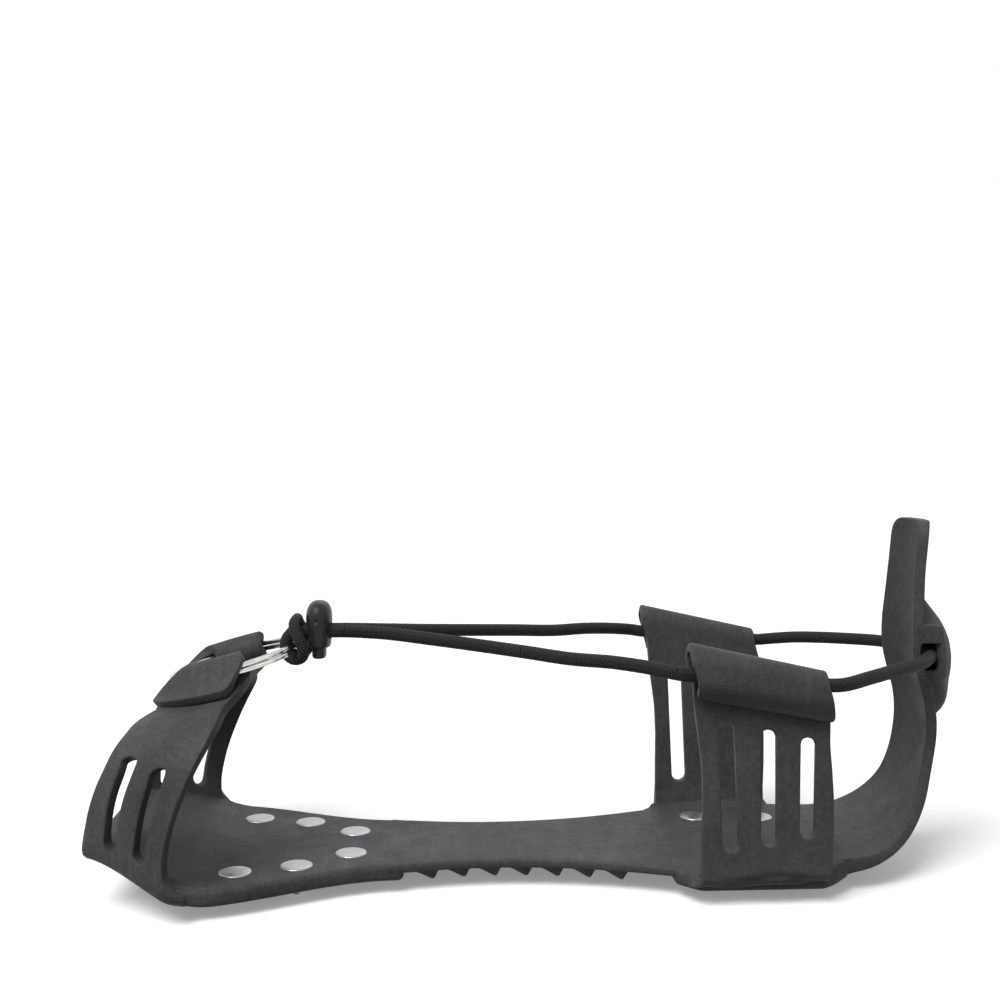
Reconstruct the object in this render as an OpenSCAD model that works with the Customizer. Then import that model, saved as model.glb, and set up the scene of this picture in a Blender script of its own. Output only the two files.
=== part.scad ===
// Pull-on ice cleat: rubber overshoe with studs, split ring, elastic cord and cord lock.
// Millimetres, toe towards -X, heel towards +X, stud tips on z = 0.

/* [Tread] */
// Height of the tread above the ground, which the studs span
stud_reach = 4; // [3:0.5:6]
// Thickness of the forefoot and heel plates
plate_t = 5; // [4.5:0.5:7]
// Thickness of the arch bridge
bridge_t = 2.8; // [2.4:0.2:4]
// Height of the saw-tooth lugs under the bridge
tooth_h = 2.4; // [1.6:0.1:3]
// Spacing of the saw-tooth lugs
tooth_pitch = 9.8; // [9:0.2:14]
// Number of saw-tooth lugs
tooth_count = 7; // [3:1:7]

/* [Forefoot] */
// Front edge of the forefoot plate
toe_x = -137; // [-142:1:-132]
// Half width of the plate at its front edge
toe_half_w = 28; // [26:1:32]
// Where the side straps' roots end, the widest place
ball_x = -110; // [-113:1:-107]
// Half width of the plate there
ball_half_w = 45; // [42:1:48]
// Rear edge of the forefoot plate
fore_rear_x = -46; // [-52:1:-40]
// Half width of the plate at its rear edge
fore_rear_half_w = 24; // [21:1:28]
// Where the toe begins to curve up
spring_x = -98; // [-104:1:-94]
// How far the plate rises to its front edge
toe_rise = 11.5; // [8:0.5:14]

/* [Arch] */
// Narrowest half width of the bridge
waist_half_w = 20; // [16:1:21]
// Place of the narrowest width
waist_x = -14; // [-20:1:0]
// Half width of the bridge where it meets the heel plate
bridge_heel_half_w = 32; // [26:1:34]

/* [Heel] */
// Front edge of the heel plate
heel_front_x = 43; // [40:1:45]
// Rear edge of the heel plate
heel_rear_x = 93; // [91:1:95]
// Half width of the heel plate
heel_half_w = 38; // [35:1:42]
// Half width of the heel strap's root
heel_root_half_w = 29; // [24:1:32]
// Rearmost place of the heel strap's edge
heel_belly_x = 125.4; // [123:0.2:127]
// Height of that place
heel_belly_z = 36; // [32:1:40]
// Place of the heel strap's edge at its cord loop
heel_loop_x = 120.4; // [118:0.2:122]
// Height of the cord loop
heel_loop_z = 70; // [67:0.5:72]
// Place of the pull tab's edge at its top
tab_x = 121.5; // [119:0.5:124]
// Height of the pull tab's top
tab_top_z = 112.5; // [108:0.5:118]
// Half width of the heel strap at its cord loop
heel_loop_half_w = 15; // [14:0.5:18]
// Half width of the pull tab
tab_half_w = 15.4; // [14:0.2:18]
// Thickness of the heel strap and pull tab
heel_strap_t = 3.4; // [2.8:0.2:4]
// Wall of the heel cord loop
loop_wall = 2.2; // [1.8:0.1:3]
// How far the heel strap hugs the heel from its edges to its middle
heel_wrap = 3.2; // [2:0.1:4]

/* [Side straps] */
// Thickness of the side straps
strap_t = 3; // [2.6:0.1:3.4]
// Front end of the rear strap's root
rear_root_front_x = 46.5; // [46:0.5:50]
// Rear end of the rear strap's root
rear_root_rear_x = 86.5; // [82:0.5:88]
// Height of the rear strap's fold at its front end, at the tunnel's middle
rear_fold_front_z = 74; // [68:0.5:80]
// Height of the rear strap's fold at its rear end
rear_fold_rear_z = 67.5; // [64:0.5:70]
// How far the fold-over flaps hang below the tunnel's middle
flap_drop = 10.5; // [10:0.5:13]
// Half width of the front strap's fold
front_fold_half_w = 11; // [9.4:0.2:11.6]
// Half width of the front strap where its flap ends
front_flap_half_w = 13; // [11:0.2:14]

/* [Split ring] */
// Mean radius of the split ring
ring_r = 20.5; // [19.5:0.5:22]
// Radial width of its flat wire
wire_w = 2.2; // [1.8:0.1:2.4]
// Height of the two turns together
wire_h = 3.2; // [2.6:0.2:3.4]
// Clearance of the ring in the front straps' loops
ring_fit = 0.5; // [0.4:0.05:0.7]
// Tilt of the ring, rear side up, in degrees
ring_tilt = 15; // [10:1:18]
// Groove between the two turns
turn_gap = 0.3; // [0.2:0.05:0.5]

/* [Cord and lock] */
// Diameter of the elastic cord
cord_d = 4.4; // [4:0.1:4.8]
// Clearance between the cord and the pieces that it passes
cord_fit = 0.3; // [0.2:0.05:0.5]
// Thickness of the cord lock along the cord
lock_depth = 8; // [7.4:0.2:9]
// Height of the cord lock's body
lock_h = 15; // [14.5:0.5:18]
// Wall of the cord lock beside the plunger
lock_wall = 1.3; // [1:0.1:1.6]
// Travel of the plunger
press_travel = 2.2; // [1.6:0.1:2.4]
// Running clearance of the plunger on each side
plunger_fit = 0.08; // [0.05:0.01:0.1]
// Wire of the lock's spring
spring_wire = 0.6; // [0.4:0.1:0.7]
// Turns of the lock's spring
spring_turns = 3; // [2:1:3]

/* [Studs] */
// Radius of a stud's shank
stud_r = 2.8; // [2.2:0.1:3.2]
// Radius of a stud's head
stud_head_r = 5; // [4:0.2:6]
// Thickness of a stud's head
stud_head_t = 1.2; // [0.8:0.1:1.6]
// Radius of the hard tip
tip_r = 1.3; // [1:0.1:1.6]
// How far the tip stands out of the stud
tip_reach = 1.6; // [1:0.1:2]
// How deep the tip sits in the stud
tip_seat = 3; // [2:0.2:4]
// Clearance of moulded-in and pressed-in round parts
seat_fit = 0.03; // [0.02:0.01:0.05]

/* [Hidden] */
$fn = 64;

rubber = [0.13, 0.135, 0.13];
rubber_side = [0.17, 0.175, 0.17];
cord_black = [0.07, 0.07, 0.08];
lock_black = [0.1, 0.1, 0.11];
bright_steel = [0.78, 0.78, 0.8];
hard_tip = [0.45, 0.46, 0.48];

top_z = stud_reach + plate_t;
eps = 0.2;

// Points of straight lines and curves
function lerp(a, b, u) = a + (b - a) * u;
function bezier(a, b, c, d, u) =
    pow(1 - u, 3) * a + 3 * u * pow(1 - u, 2) * b + 3 * u * u * (1 - u) * c + pow(u, 3) * d;
function ease(u) = u * u * (3 - 2 * u);
function unit(v) = v / norm(v);
function clip(i, n) = min(max(i, 0), n - 1);
function flip(points) = [for (p = points) [p[0], -p[1]]];
function reversed(list) = [for (i = [len(list) - 1 : -1 : 0]) list[i]];

// Strip of even thickness on a grid of middle points, rows first to last; a cell that open names is a hole
module strip(rows, t, first, last, open = function (i, j) false) {
    n = len(rows);
    m = len(rows[0]);
    count = last - first + 1;
    normals = [for (i = [first : last]) [for (j = [0 : m - 1]) unit(cross(
        rows[clip(i + 1, n)][j] - rows[clip(i - 1, n)][j],
        rows[i][clip(j + 1, m)] - rows[i][clip(j - 1, m)]))]];
    outer = [for (i = [0 : count - 1]) for (j = [0 : m - 1]) rows[first + i][j] + normals[i][j] * t / 2];
    inner = [for (i = [0 : count - 1]) for (j = [0 : m - 1]) rows[first + i][j] - normals[i][j] * t / 2];
    size = count * m;
    solid = function (i, j) i >= 0 && j >= 0 && i < count - 1 && j < m - 1 && !open(first + i, j);
    wall = function (p, q) [[p, q, q + size], [p, q + size, p + size]];
    first_wall = function (p, q) [[p, q, p + size], [q, q + size, p + size]];
    faces = [
        for (i = [0 : count - 2]) for (j = [0 : m - 2]) if (solid(i, j))
            let (a = i * m + j, b = a + m, c = b + 1, d = a + 1)
            each concat(
                [[a, d, c], [a, c, b]],
                [[a + size, b + size, c + size], [a + size, c + size, d + size]],
                solid(i, j - 1) ? [] : wall(a, b),
                solid(i + 1, j) ? [] : wall(b, c),
                solid(i, j + 1) ? [] : wall(c, d),
                solid(i - 1, j) ? [] : first_wall(d, a))
    ];
    polyhedron(points = concat(outer, inner), faces = faces, convexity = 10);
}

// Round tube through route points first to last; its frames come from the whole route
module tube(route, r, first, last, sides = 8) {
    n = len(route);
    tangents = [for (i = [0 : n - 1]) unit(route[clip(i + 1, n)] - route[clip(i - 1, n)])];
    start = unit(cross(tangents[0], abs(tangents[0][2]) > 0.9 ? [1, 0, 0] : [0, 0, 1]));
    side_vectors = [for (i = 0, v = start; i < n; i = i + 1,
        v = i < n ? unit(v - (v * tangents[i]) * tangents[i]) : v) v];
    points = [for (i = [first : last]) for (k = [0 : sides - 1])
        let (a = 360 * (k + 0.5) / sides)
        route[i] + r * (cos(a) * side_vectors[i] + sin(a) * cross(tangents[i], side_vectors[i]))];
    rings = last - first + 1;
    faces = concat(
        [[for (k = [0 : sides - 1]) k]],
        [for (i = [0 : rings - 2]) for (k = [0 : sides - 1])
            let (a = i * sides + k, b = i * sides + (k + 1) % sides)
            each [[a, a + sides, b + sides], [a, b + sides, b]]],
        [[for (k = [sides - 1 : -1 : 0]) (rings - 1) * sides + k]]);
    polyhedron(points = points, faces = faces, convexity = 6);
}

// Tread level, which curves up under the toe
function tread_z(x) = stud_reach + toe_rise * ease(min(max((spring_x - x) / (spring_x - toe_x), 0), 1));

// Studs: plan positions, mirrored to both sides
fore_stud_places = [[-94, 27], [-76, 22], [-60, 11]];
heel_stud_places = [[57, 22], [79, 20]];
function both_sides(places) = concat(places, flip(places));

module stud_bores(places) {
    for (p = both_sides(places)) translate([p[0], p[1], 0]) {
        cylinder(h = top_z + 1, r = stud_r + seat_fit);
        translate([0, 0, top_z - stud_head_t]) cylinder(h = stud_head_t + 1, r = stud_head_r + seat_fit);
    }
}

module studs(places) {
    for (p = both_sides(places)) translate([p[0], p[1], 0]) difference() {
        union() {
            translate([0, 0, tip_reach]) cylinder(h = top_z - tip_reach, r = stud_r);
            translate([0, 0, top_z - stud_head_t]) cylinder(h = stud_head_t, r = stud_head_r);
        }
        cylinder(h = tip_reach + tip_seat, r = tip_r + seat_fit);
    }
}

module stud_tips(places) {
    nose = tip_r * 0.55;
    for (p = both_sides(places)) translate([p[0], p[1], 0]) {
        cylinder(h = tip_reach / 2, r1 = nose, r2 = tip_r);
        translate([0, 0, tip_reach / 2]) cylinder(h = tip_reach / 2 + tip_seat, r = tip_r);
    }
}

module forefoot_studs() color(bright_steel) studs(fore_stud_places);
module heel_studs() color(bright_steel) studs(heel_stud_places);
module forefoot_stud_tips() color(hard_tip) stud_tips(fore_stud_places);
module heel_stud_tips() color(hard_tip) stud_tips(heel_stud_places);

// Forefoot plate: side view with the toe's curve, cut to the plan outline
module forefoot_plate() {
    steps = 8;
    curve_x = [for (i = [0 : steps]) lerp(spring_x, toe_x - 1, i / steps)];
    below = concat([[fore_rear_x, stud_reach]], [for (x = curve_x) [x, tread_z(x)]]);
    above = [for (p = below) p + [0, plate_t]];
    flank = [for (i = [0 : steps]) let (u = i / steps)
        [lerp(ball_x, fore_rear_x, u), lerp(ball_half_w, fore_rear_half_w, ease(u))]];
    half = concat([[toe_x, toe_half_w]], flank);
    color(rubber) difference() {
        intersection() {
            rotate([90, 0, 0]) linear_extrude(height = 2 * ball_half_w + 2, center = true)
                polygon(concat(below, reversed(above)));
            linear_extrude(height = 60) polygon(concat(half, reversed(flip(half))));
        }
        stud_bores(fore_stud_places);
    }
}

// Arch bridge: hourglass strip with saw-tooth lugs, slanted towards the toe and steep towards the heel
function bridge_half_w(x) = x < waist_x
    ? lerp(waist_half_w, fore_rear_half_w, pow((waist_x - x) / (waist_x - fore_rear_x), 2))
    : lerp(waist_half_w, bridge_heel_half_w, pow((x - waist_x) / (heel_front_x - waist_x), 2));

module arch_bridge() {
    steps = 14;
    tooth_run = 6.4;
    tooth_back = 1.4;
    last_tip_x = heel_front_x - 18;
    half = [for (i = [0 : steps]) let (x = lerp(fore_rear_x, heel_front_x, i / steps)) [x, bridge_half_w(x)]];
    underside = top_z - bridge_t;
    color(rubber) union() {
        translate([0, 0, underside]) linear_extrude(height = bridge_t)
            polygon(concat(half, reversed(flip(half))));
        for (k = [0 : tooth_count - 1]) let (x = last_tip_x - k * tooth_pitch)
            translate([x, 0, underside]) rotate([90, 0, 0])
                linear_extrude(height = 2 * bridge_half_w(x) - 3, center = true)
                    polygon([[-tooth_run, eps], [-tooth_run, 0], [-0.4, -tooth_h], [0.4, -tooth_h],
                        [tooth_back, 0], [tooth_back, eps]]);
    }
}

// Heel plate: straight sides that carry the rear straps, straight rear edge that carries the heel strap
module heel_plate() {
    corner = heel_half_w - heel_root_half_w;
    back_x = rear_root_rear_x;
    arc = [for (a = [75 : -15 : 15])
        [back_x + (heel_rear_x - back_x) * cos(a), heel_root_half_w + corner * sin(a)]];
    half = concat(
        [[heel_front_x, bridge_heel_half_w], [rear_root_front_x, heel_half_w], [back_x, heel_half_w]],
        arc,
        [[heel_rear_x, heel_root_half_w]]);
    color(rubber) difference() {
        translate([0, 0, stud_reach]) linear_extrude(height = plate_t)
            polygon(concat(half, reversed(flip(half))));
        stud_bores(heel_stud_places);
    }
}

// Split ring: frame of its plane, tilted about Y
ring_rear = [-76.2, 0, 74.5];
ring_out = [cos(ring_tilt), 0, sin(ring_tilt)];
ring_up = [-sin(ring_tilt), 0, cos(ring_tilt)];
ring_centre = ring_rear - (ring_r + wire_w / 2) * ring_out;
function ring_point(r, angle, h) = ring_centre + r * cos(angle) * ring_out - [0, r * sin(angle), 0] + h * ring_up;

module split_ring() {
    groove = 0.5;
    turn_h = (wire_h - turn_gap) / 2;
    core = wire_w - 2 * groove;
    color(bright_steel) translate(ring_centre) rotate([0, -ring_tilt, 0]) rotate_extrude() {
        for (side = [-1, 1])
            translate([ring_r - wire_w / 2, side * (turn_h + turn_gap) / 2 - turn_h / 2])
                square([wire_w, turn_h]);
        translate([ring_r - core / 2, -turn_gap]) square([core, 2 * turn_gap]);
    }
}

// Front strap: from the plate's slanted side up over the toe, folded over the ring and back down outside
front_slope = 22;
front_fold_angle = 98;
front_flap_angle = 112;
front_flare = 7;
front_tunnel_r = norm([wire_w, wire_h]) / 2 + ring_fit;
front_fold_r = front_tunnel_r + strap_t / 2;
front_reach = 18;
front_lead = 17;
front_root_lead = [0.5, -2, 24];
front_flap_end = flap_drop + 4;
flap_gap = 0.3;
front_columns = [0, 0.13, 0.26, 0.42, 0.505, 0.59, 0.75, 0.875, 1];
front_slots = [2, 5];
front_slot_rows = [2, 7];
front_rise_steps = [0, 0.05, 0.17, 0.31, 0.45, 0.58, 0.68, 0.8, 0.9, 1];

// Point of the strap near the ring: along its slope, off its slope, and across its width;
// the strap under the flap flares towards the toe
function front_near_ring(along, off, t, flare = 0) =
    let (r = ring_r + along * cos(front_slope) + off * sin(front_slope),
        h = -along * sin(front_slope) + off * cos(front_slope),
        down = along / front_flap_end,
        w = lerp(front_fold_half_w, front_flap_half_w, down) + flare * t,
        middle = lerp(front_fold_angle, front_flap_angle, min(max(down, 0), 1)),
        spread = asin(min(w / r, 0.9)))
    ring_point(r, middle + (2 * t - 1) * spread, h);

function front_root(t) =
    let (a = [ball_x, -ball_half_w], b = [toe_x, -toe_half_w],
        d = unit(b - a), out = [d[1], -d[0]],
        p = lerp(a, b, t), q = p - out * strap_t / 2)
    [q[0], q[1], tread_z(p[0])];

function front_rise(u, t) =
    let (a = front_root(t) + [0, 0, plate_t],
        d = front_near_ring(front_reach, -front_fold_r, t, front_flare),
        c = front_near_ring(front_reach + front_lead, -front_fold_r, t, front_flare))
    bezier(a, a + front_root_lead, c, d, u);

front_rows = concat(
    [[for (t = front_columns) front_root(t)]],
    [for (u = front_rise_steps) [for (t = front_columns) front_rise(u, t)]],
    [for (u = [0.5, 0]) [for (t = front_columns)
        front_near_ring(front_reach * u, -front_fold_r, t, front_flare * u)]],
    [for (a = [30 : 30 : 180]) [for (t = front_columns)
        front_near_ring(-front_fold_r * sin(a), -front_fold_r * cos(a), t)]],
    [for (along = [front_flap_end - 5, front_flap_end]) [for (t = front_columns)
        front_near_ring(along, strap_t + flap_gap - front_fold_r, t)]]);

module front_strap() color(rubber_side)
    strip(front_rows, strap_t, 0, len(front_rows) - 1, function (i, j)
        i >= front_slot_rows[0] && i < front_slot_rows[1] && len(search(j, front_slots)) > 0);
module front_strap_left() front_strap();
module front_strap_right() mirror([0, 1, 0]) front_strap();

// Rear strap: flat on the heel plate's side, folded outwards over the cord on a slanted line
rear_tunnel_r = cord_d / 2 + cord_fit;
rear_fold_r = rear_tunnel_r + strap_t / 2;
rear_fold_front_x = 42;
rear_fold_rear_x = 84;
rear_mid_y = -(heel_half_w + strap_t / 2);
rear_bend_z = 14.5;
rear_columns = [0, 0.14, 0.26, 0.35, 0.445, 0.565, 0.66, 0.745, 0.865, 1];
rear_slots = [1, 4, 7];
rear_rise = [0, 0.06, 0.3, 0.55, 0.8, 1];
function rear_root(t, z) = [lerp(rear_root_front_x, rear_root_rear_x, t), rear_mid_y, z];
function rear_fold(t, y, h, flare = 1) =
    [lerp(rear_root(t, 0)[0], lerp(rear_fold_front_x, rear_fold_rear_x, t), flare), y,
        lerp(rear_fold_front_z, rear_fold_rear_z, t) + h];
rear_under = flap_drop - 2;
rear_neck_flare = 0.3;
tunnel_drop = 5.5;
rear_root_zone = [for (z = [stud_reach, top_z, (top_z + rear_bend_z) / 2])
    [for (t = rear_columns) rear_root(t, z)]];
rear_rows = concat(
    rear_root_zone,
    [for (u = rear_rise) [for (t = rear_columns)
        lerp(rear_root(t, rear_bend_z), rear_fold(t, rear_mid_y, -rear_under, rear_neck_flare), u)]],
    [for (a = [0 : 30 : 180]) [for (t = rear_columns)
        rear_fold(t, rear_mid_y - rear_fold_r * (1 - cos(a)), rear_fold_r * sin(a))]],
    [[for (t = rear_columns) rear_fold(t, rear_mid_y - 2 * rear_fold_r, -tunnel_drop)]],
    [for (h = [rear_under, flap_drop]) [for (t = rear_columns)
        rear_fold(t, rear_mid_y - strap_t - flap_gap, -h, rear_neck_flare)]]);
rear_bend_row = len(rear_root_zone);
rear_slot_rows = [rear_bend_row + 1, rear_bend_row + 4];

module rear_strap_zone(first, last) color(rubber_side)
    strip(rear_rows, strap_t, first, last, function (i, j)
        i >= rear_slot_rows[0] && i < rear_slot_rows[1] && len(search(j, rear_slots)) > 0);
module rear_strap_root_left() rear_strap_zone(0, rear_bend_row);
module rear_strap_root_right() mirror([0, 1, 0]) rear_strap_zone(0, rear_bend_row);
module rear_strap_left() rear_strap_zone(rear_bend_row, len(rear_rows) - 1);
module rear_strap_right() mirror([0, 1, 0]) rear_strap_zone(rear_bend_row, len(rear_rows) - 1);

// Heel strap: edge line in side view, wrapped a little round the heel, with its cord loop and pull tab
heel_mid_z = stud_reach + plate_t / 2;
heel_columns = [-1, -0.72, -0.36, 0, 0.36, 0.72, 1];
tab_corner = 4;
wrap_rise = 30;
taper_rise = 32;
function heel_wrap_at(z) = heel_wrap * ease(min(max((z - top_z) / wrap_rise, 0), 1));
function heel_half_w_at(z) = z > heel_loop_z
    ? lerp(heel_loop_half_w, tab_half_w, min((z - heel_loop_z) / wrap_rise, 1))
    : lerp(heel_loop_half_w, heel_root_half_w, pow(max(1 - (z - heel_mid_z) / taper_rise, 0), 2));
function heel_row(p, w) = [for (c = heel_columns)
    [p[0] + heel_wrap_at(p[1]) * (1 - c * c), c * w, p[1]]];

// The edge line's four places, and its pull towards the next and from the last at each
heel_foot = [heel_rear_x + 2, heel_mid_z];
heel_belly = [heel_belly_x, heel_belly_z];
heel_neck = [heel_loop_x, heel_loop_z];
tab_end = [tab_x, tab_top_z];
function edge_points(a, after_a, before_b, b, steps) = [for (u = steps) bezier(a, a + after_a, b + before_b, b, u)];
heel_root_line = concat([[heel_rear_x, heel_mid_z]],
    edge_points(heel_foot, [15, 0], [-3.2, -20], heel_belly, [0, 0.2, 0.4]));
heel_band_line = concat(
    edge_points(heel_foot, [15, 0], [-3.2, -20], heel_belly, [0.6, 0.8]),
    edge_points(heel_belly, [2.4, 14], [0.6, -12], heel_neck, [0, 0.25, 0.5, 0.75]),
    edge_points(heel_neck, [-0.2, 14], [1.1, -13.5], tab_end, [0, 0.2, 0.4]));
tab_line = edge_points(heel_neck, [-0.2, 14], [1.1, -13.5], tab_end, [0.55, 0.7, 0.85]);
tab_top = [for (a = [30, 60, 90]) heel_row([tab_x, tab_top_z - tab_corner * (1 - sin(a))],
    tab_half_w - tab_corner * (1 - cos(a)))];
heel_rows = concat(
    [for (p = concat(heel_root_line, heel_band_line, tab_line)) heel_row(p, heel_half_w_at(p[1]))],
    tab_top);
heel_bend_row = len(heel_root_line) - 1;
tab_row = heel_bend_row + len(heel_band_line) + 1;

// Cord loop behind the heel strap: a shell open at both sides, deeper and taller in its middle
loop_rise = 0.8;
loop_lean = [0.25, 1.05];
loop_roundness = 0.55;
loop_depth = [8.6, 12.2];
loop_half_h = [8.4, 17];
loop_angles = [-90 : 22.5 : 90];
function loop_row(a) = [for (c = heel_columns)
    let (bulge = 1 - c * c,
        foot_x = heel_loop_x + 0.3 + heel_wrap * bulge + lerp(loop_lean[0], loop_lean[1], bulge) * (1 - sin(a)),
        depth = lerp(loop_depth[0], loop_depth[1], bulge))
    [foot_x + depth * pow(abs(cos(a)), loop_roundness), c * heel_loop_half_w,
        heel_loop_z + loop_rise + lerp(loop_half_h[0], loop_half_h[1], bulge) * sin(a)]];
loop_rows = [for (a = loop_angles) loop_row(a)];

module heel_strap_root() color(rubber_side) strip(heel_rows, heel_strap_t, 0, heel_bend_row);
module heel_strap() color(rubber_side) union() {
    strip(heel_rows, heel_strap_t, heel_bend_row, tab_row);
    strip(loop_rows, loop_wall, 0, len(loop_rows) - 1);
}
module pull_tab() color(rubber_side) strip(heel_rows, heel_strap_t, tab_row, len(heel_rows) - 1);

// Cord lock: body with a cord passage, plunger pushed down by a spring onto the cord
strand_y = cord_d / 2 + cord_fit / 2;
strand_z = 78.6;
lock_x = -69.9;
lock_low = strand_z - cord_d / 2 - 3;
lock_half_w = 2 * strand_y + cord_fit + 2;
passage_half_w = strand_y + cord_d / 2 + cord_fit / 2;
passage_half_h = cord_d / 2 + cord_fit;
plunger_half_d = lock_depth / 2 - lock_wall;
plunger_half_w = passage_half_w + 0.9;
plunger_top = strand_z + cord_d / 2 + cord_fit + 1.5;
plunger_low = lock_low - 3.6;
chamber_top = lock_low + lock_h - 1.2;

// Upright slab with round ends: half width across, half depth along the cord
module round_slab(half_w, half_d, z0, z1) translate([lock_x, 0, z0]) {
    for (side = [-1, 1]) translate([0, side * (half_w - half_d), 0]) cylinder(h = z1 - z0, r = half_d);
    translate([-half_d, -(half_w - half_d), 0]) cube([2 * half_d, 2 * (half_w - half_d), z1 - z0]);
}

// Level passage with round ends, through the lock along the cord
module passage(half_w, low, high) {
    r = (high - low) / 2;
    translate([lock_x, 0, low + r]) rotate([0, 90, 0]) {
        for (side = [-1, 1]) translate([0, side * (half_w - r), 0])
            cylinder(h = lock_depth + 2, r = r, center = true);
        cube([2 * r, 2 * (half_w - r), lock_depth + 2], center = true);
    }
}

module lock_body() color(lock_black) difference() {
    union() {
        round_slab(lock_half_w, lock_depth / 2, lock_low + 1, lock_low + lock_h - 1);
        round_slab(lock_half_w - 1, lock_depth / 2 - 1, lock_low, lock_low + lock_h);
    }
    round_slab(plunger_half_w + plunger_fit, plunger_half_d + plunger_fit, lock_low - 1, chamber_top);
    passage(passage_half_w, strand_z - passage_half_h, strand_z + passage_half_h);
}

module lock_plunger() color(lock_black) difference() {
    round_slab(plunger_half_w, plunger_half_d, plunger_low, plunger_top);
    translate([lock_x - lock_depth / 2, -passage_half_w, strand_z - passage_half_h - press_travel])
        cube([lock_depth, 2 * passage_half_w, 2 * passage_half_h + press_travel]);
}

// Spring of the lock: one unbroken helix between the plunger and the chamber's top
spring_r_mid = plunger_half_d - spring_wire;
spring_low = plunger_top + spring_wire / 2 + 0.02;
spring_high = chamber_top - spring_wire / 2 - 0.02;
spring_steps = 8;
spring_route = [for (i = [0 : spring_turns * spring_steps]) let (a = 360 * i / spring_steps)
    [lock_x + spring_r_mid * cos(a), spring_r_mid * sin(a),
        lerp(spring_low, spring_high, i / (spring_turns * spring_steps))]];
spring_gap = min([for (i = [0 : len(spring_route) - 1]) for (k = [i + spring_steps / 2 : 1 : len(spring_route) - 1])
    norm(spring_route[i] - spring_route[k])]) - spring_wire;
echo(spring_gap = spring_gap);
module lock_spring() color(bright_steel) tube(spring_route, spring_wire / 2, 0, len(spring_route) - 1, 6);

// Cord route on the left side, from its hitch on the ring to the middle of the heel
cord_r = cord_d / 2;
hitch_route = [
    [-77.2, 0, 84], [-77.1, -3.2, 83.9], [-76.4, -6.3, 82.6], [-75.5, -7.9, 79.2], [-74.9, -7.8, 74.6],
    [-74.8, -6.8, 71], [-76.4, -5.4, 69.2], [-79, -4.1, 69.2], [-81.3, -3.3, 71.1], [-82, -2.9, 74],
    [-81.6, -2.7, 76.7], [-79.8, -strand_y, 78.5], [-77.4, -strand_y, strand_z], [-76, -strand_y, strand_z]];
cord_y = rear_mid_y - rear_fold_r;
strand_part = [[-76, -strand_y, strand_z], [-68, -strand_y, strand_z], [-62, -strand_y, strand_z]];
front_part = [
    [-56, -3, 78.4], [-48, -4.5, 78], [-36, -9, 77.1], [-20, -16, 75.9], [-6, -22.5, 74.8], [8, -29, 73.6],
    [20, -34.5, 72.6], [30, -39.5, 71.8], rear_fold(-0.1, cord_y, -4.3)];
span_part = [
    rear_fold(0, cord_y, -3.6), rear_fold(0.33, cord_y, -1.6), rear_fold(0.66, cord_y, -0.4),
    rear_fold(1, cord_y, 0), rear_fold(1.1, cord_y, 0.6)];
rear_part = [
    [97, -39.5, 67.8], [106, -33.5, 68.7], [114, -27.8, 69.4], [heel_loop_x - 0.4, -22.5, heel_loop_z],
    [heel_loop_x + 4.6, -15.4, heel_loop_z + 0.4]];
heel_part = [[heel_loop_x + 6.8, -8, heel_loop_z + 0.6], [heel_loop_x + 7.6, 0, heel_loop_z + 0.6]];
parts_of_run = [strand_part, front_part, span_part, rear_part, heel_part];
run_route = [for (part = parts_of_run) each part];
function points_to(k) = k < 0 ? 0 : len(parts_of_run[k]) + points_to(k - 1);
heel_half = concat([for (i = [-2, -1]) rear_part[len(rear_part) + i]], heel_part);
heel_route = concat(heel_half, [for (i = [len(heel_half) - 2 : -1 : 0])
    [heel_half[i][0], -heel_half[i][1], heel_half[i][2]]]);
hitch_loop = concat(
    [for (i = [len(hitch_route) - 1 : -1 : 1]) hitch_route[i]],
    [for (p = hitch_route) [p[0], -p[1], p[2]]]);

module cord_hitch() color(cord_black) tube(hitch_loop, cord_r, 0, len(hitch_loop) - 1);
module run(k) color(cord_black) tube(run_route, cord_r, max(points_to(k - 1) - 1, 0), points_to(k) - 1);
module cord_strand_left() run(0);
module cord_front_run_left() run(1);
module cord_strap_span_left() run(2);
module cord_rear_run_left() run(3);
module cord_strand_right() mirror([0, 1, 0]) cord_strand_left();
module cord_front_run_right() mirror([0, 1, 0]) cord_front_run_left();
module cord_strap_span_right() mirror([0, 1, 0]) cord_strap_span_left();
module cord_rear_run_right() mirror([0, 1, 0]) cord_rear_run_left();
module cord_heel_span() color(cord_black) tube(heel_route, cord_r, 1, len(heel_route) - 2);

forefoot_plate();
arch_bridge();
heel_plate();
front_strap_left();
front_strap_right();
rear_strap_root_left();
rear_strap_root_right();
rear_strap_left();
rear_strap_right();
heel_strap_root();
heel_strap();
pull_tab();
split_ring();
cord_hitch();
cord_strand_left();
cord_strand_right();
cord_front_run_left();
cord_front_run_right();
cord_strap_span_left();
cord_strap_span_right();
cord_rear_run_left();
cord_rear_run_right();
cord_heel_span();
lock_body();
lock_plunger();
lock_spring();
forefoot_studs();
forefoot_stud_tips();
heel_studs();
heel_stud_tips();
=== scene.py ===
"""Looks of the pull-on ice cleat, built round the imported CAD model."""

import math

import bpy
import numpy as np
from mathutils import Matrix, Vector, geometry

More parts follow.
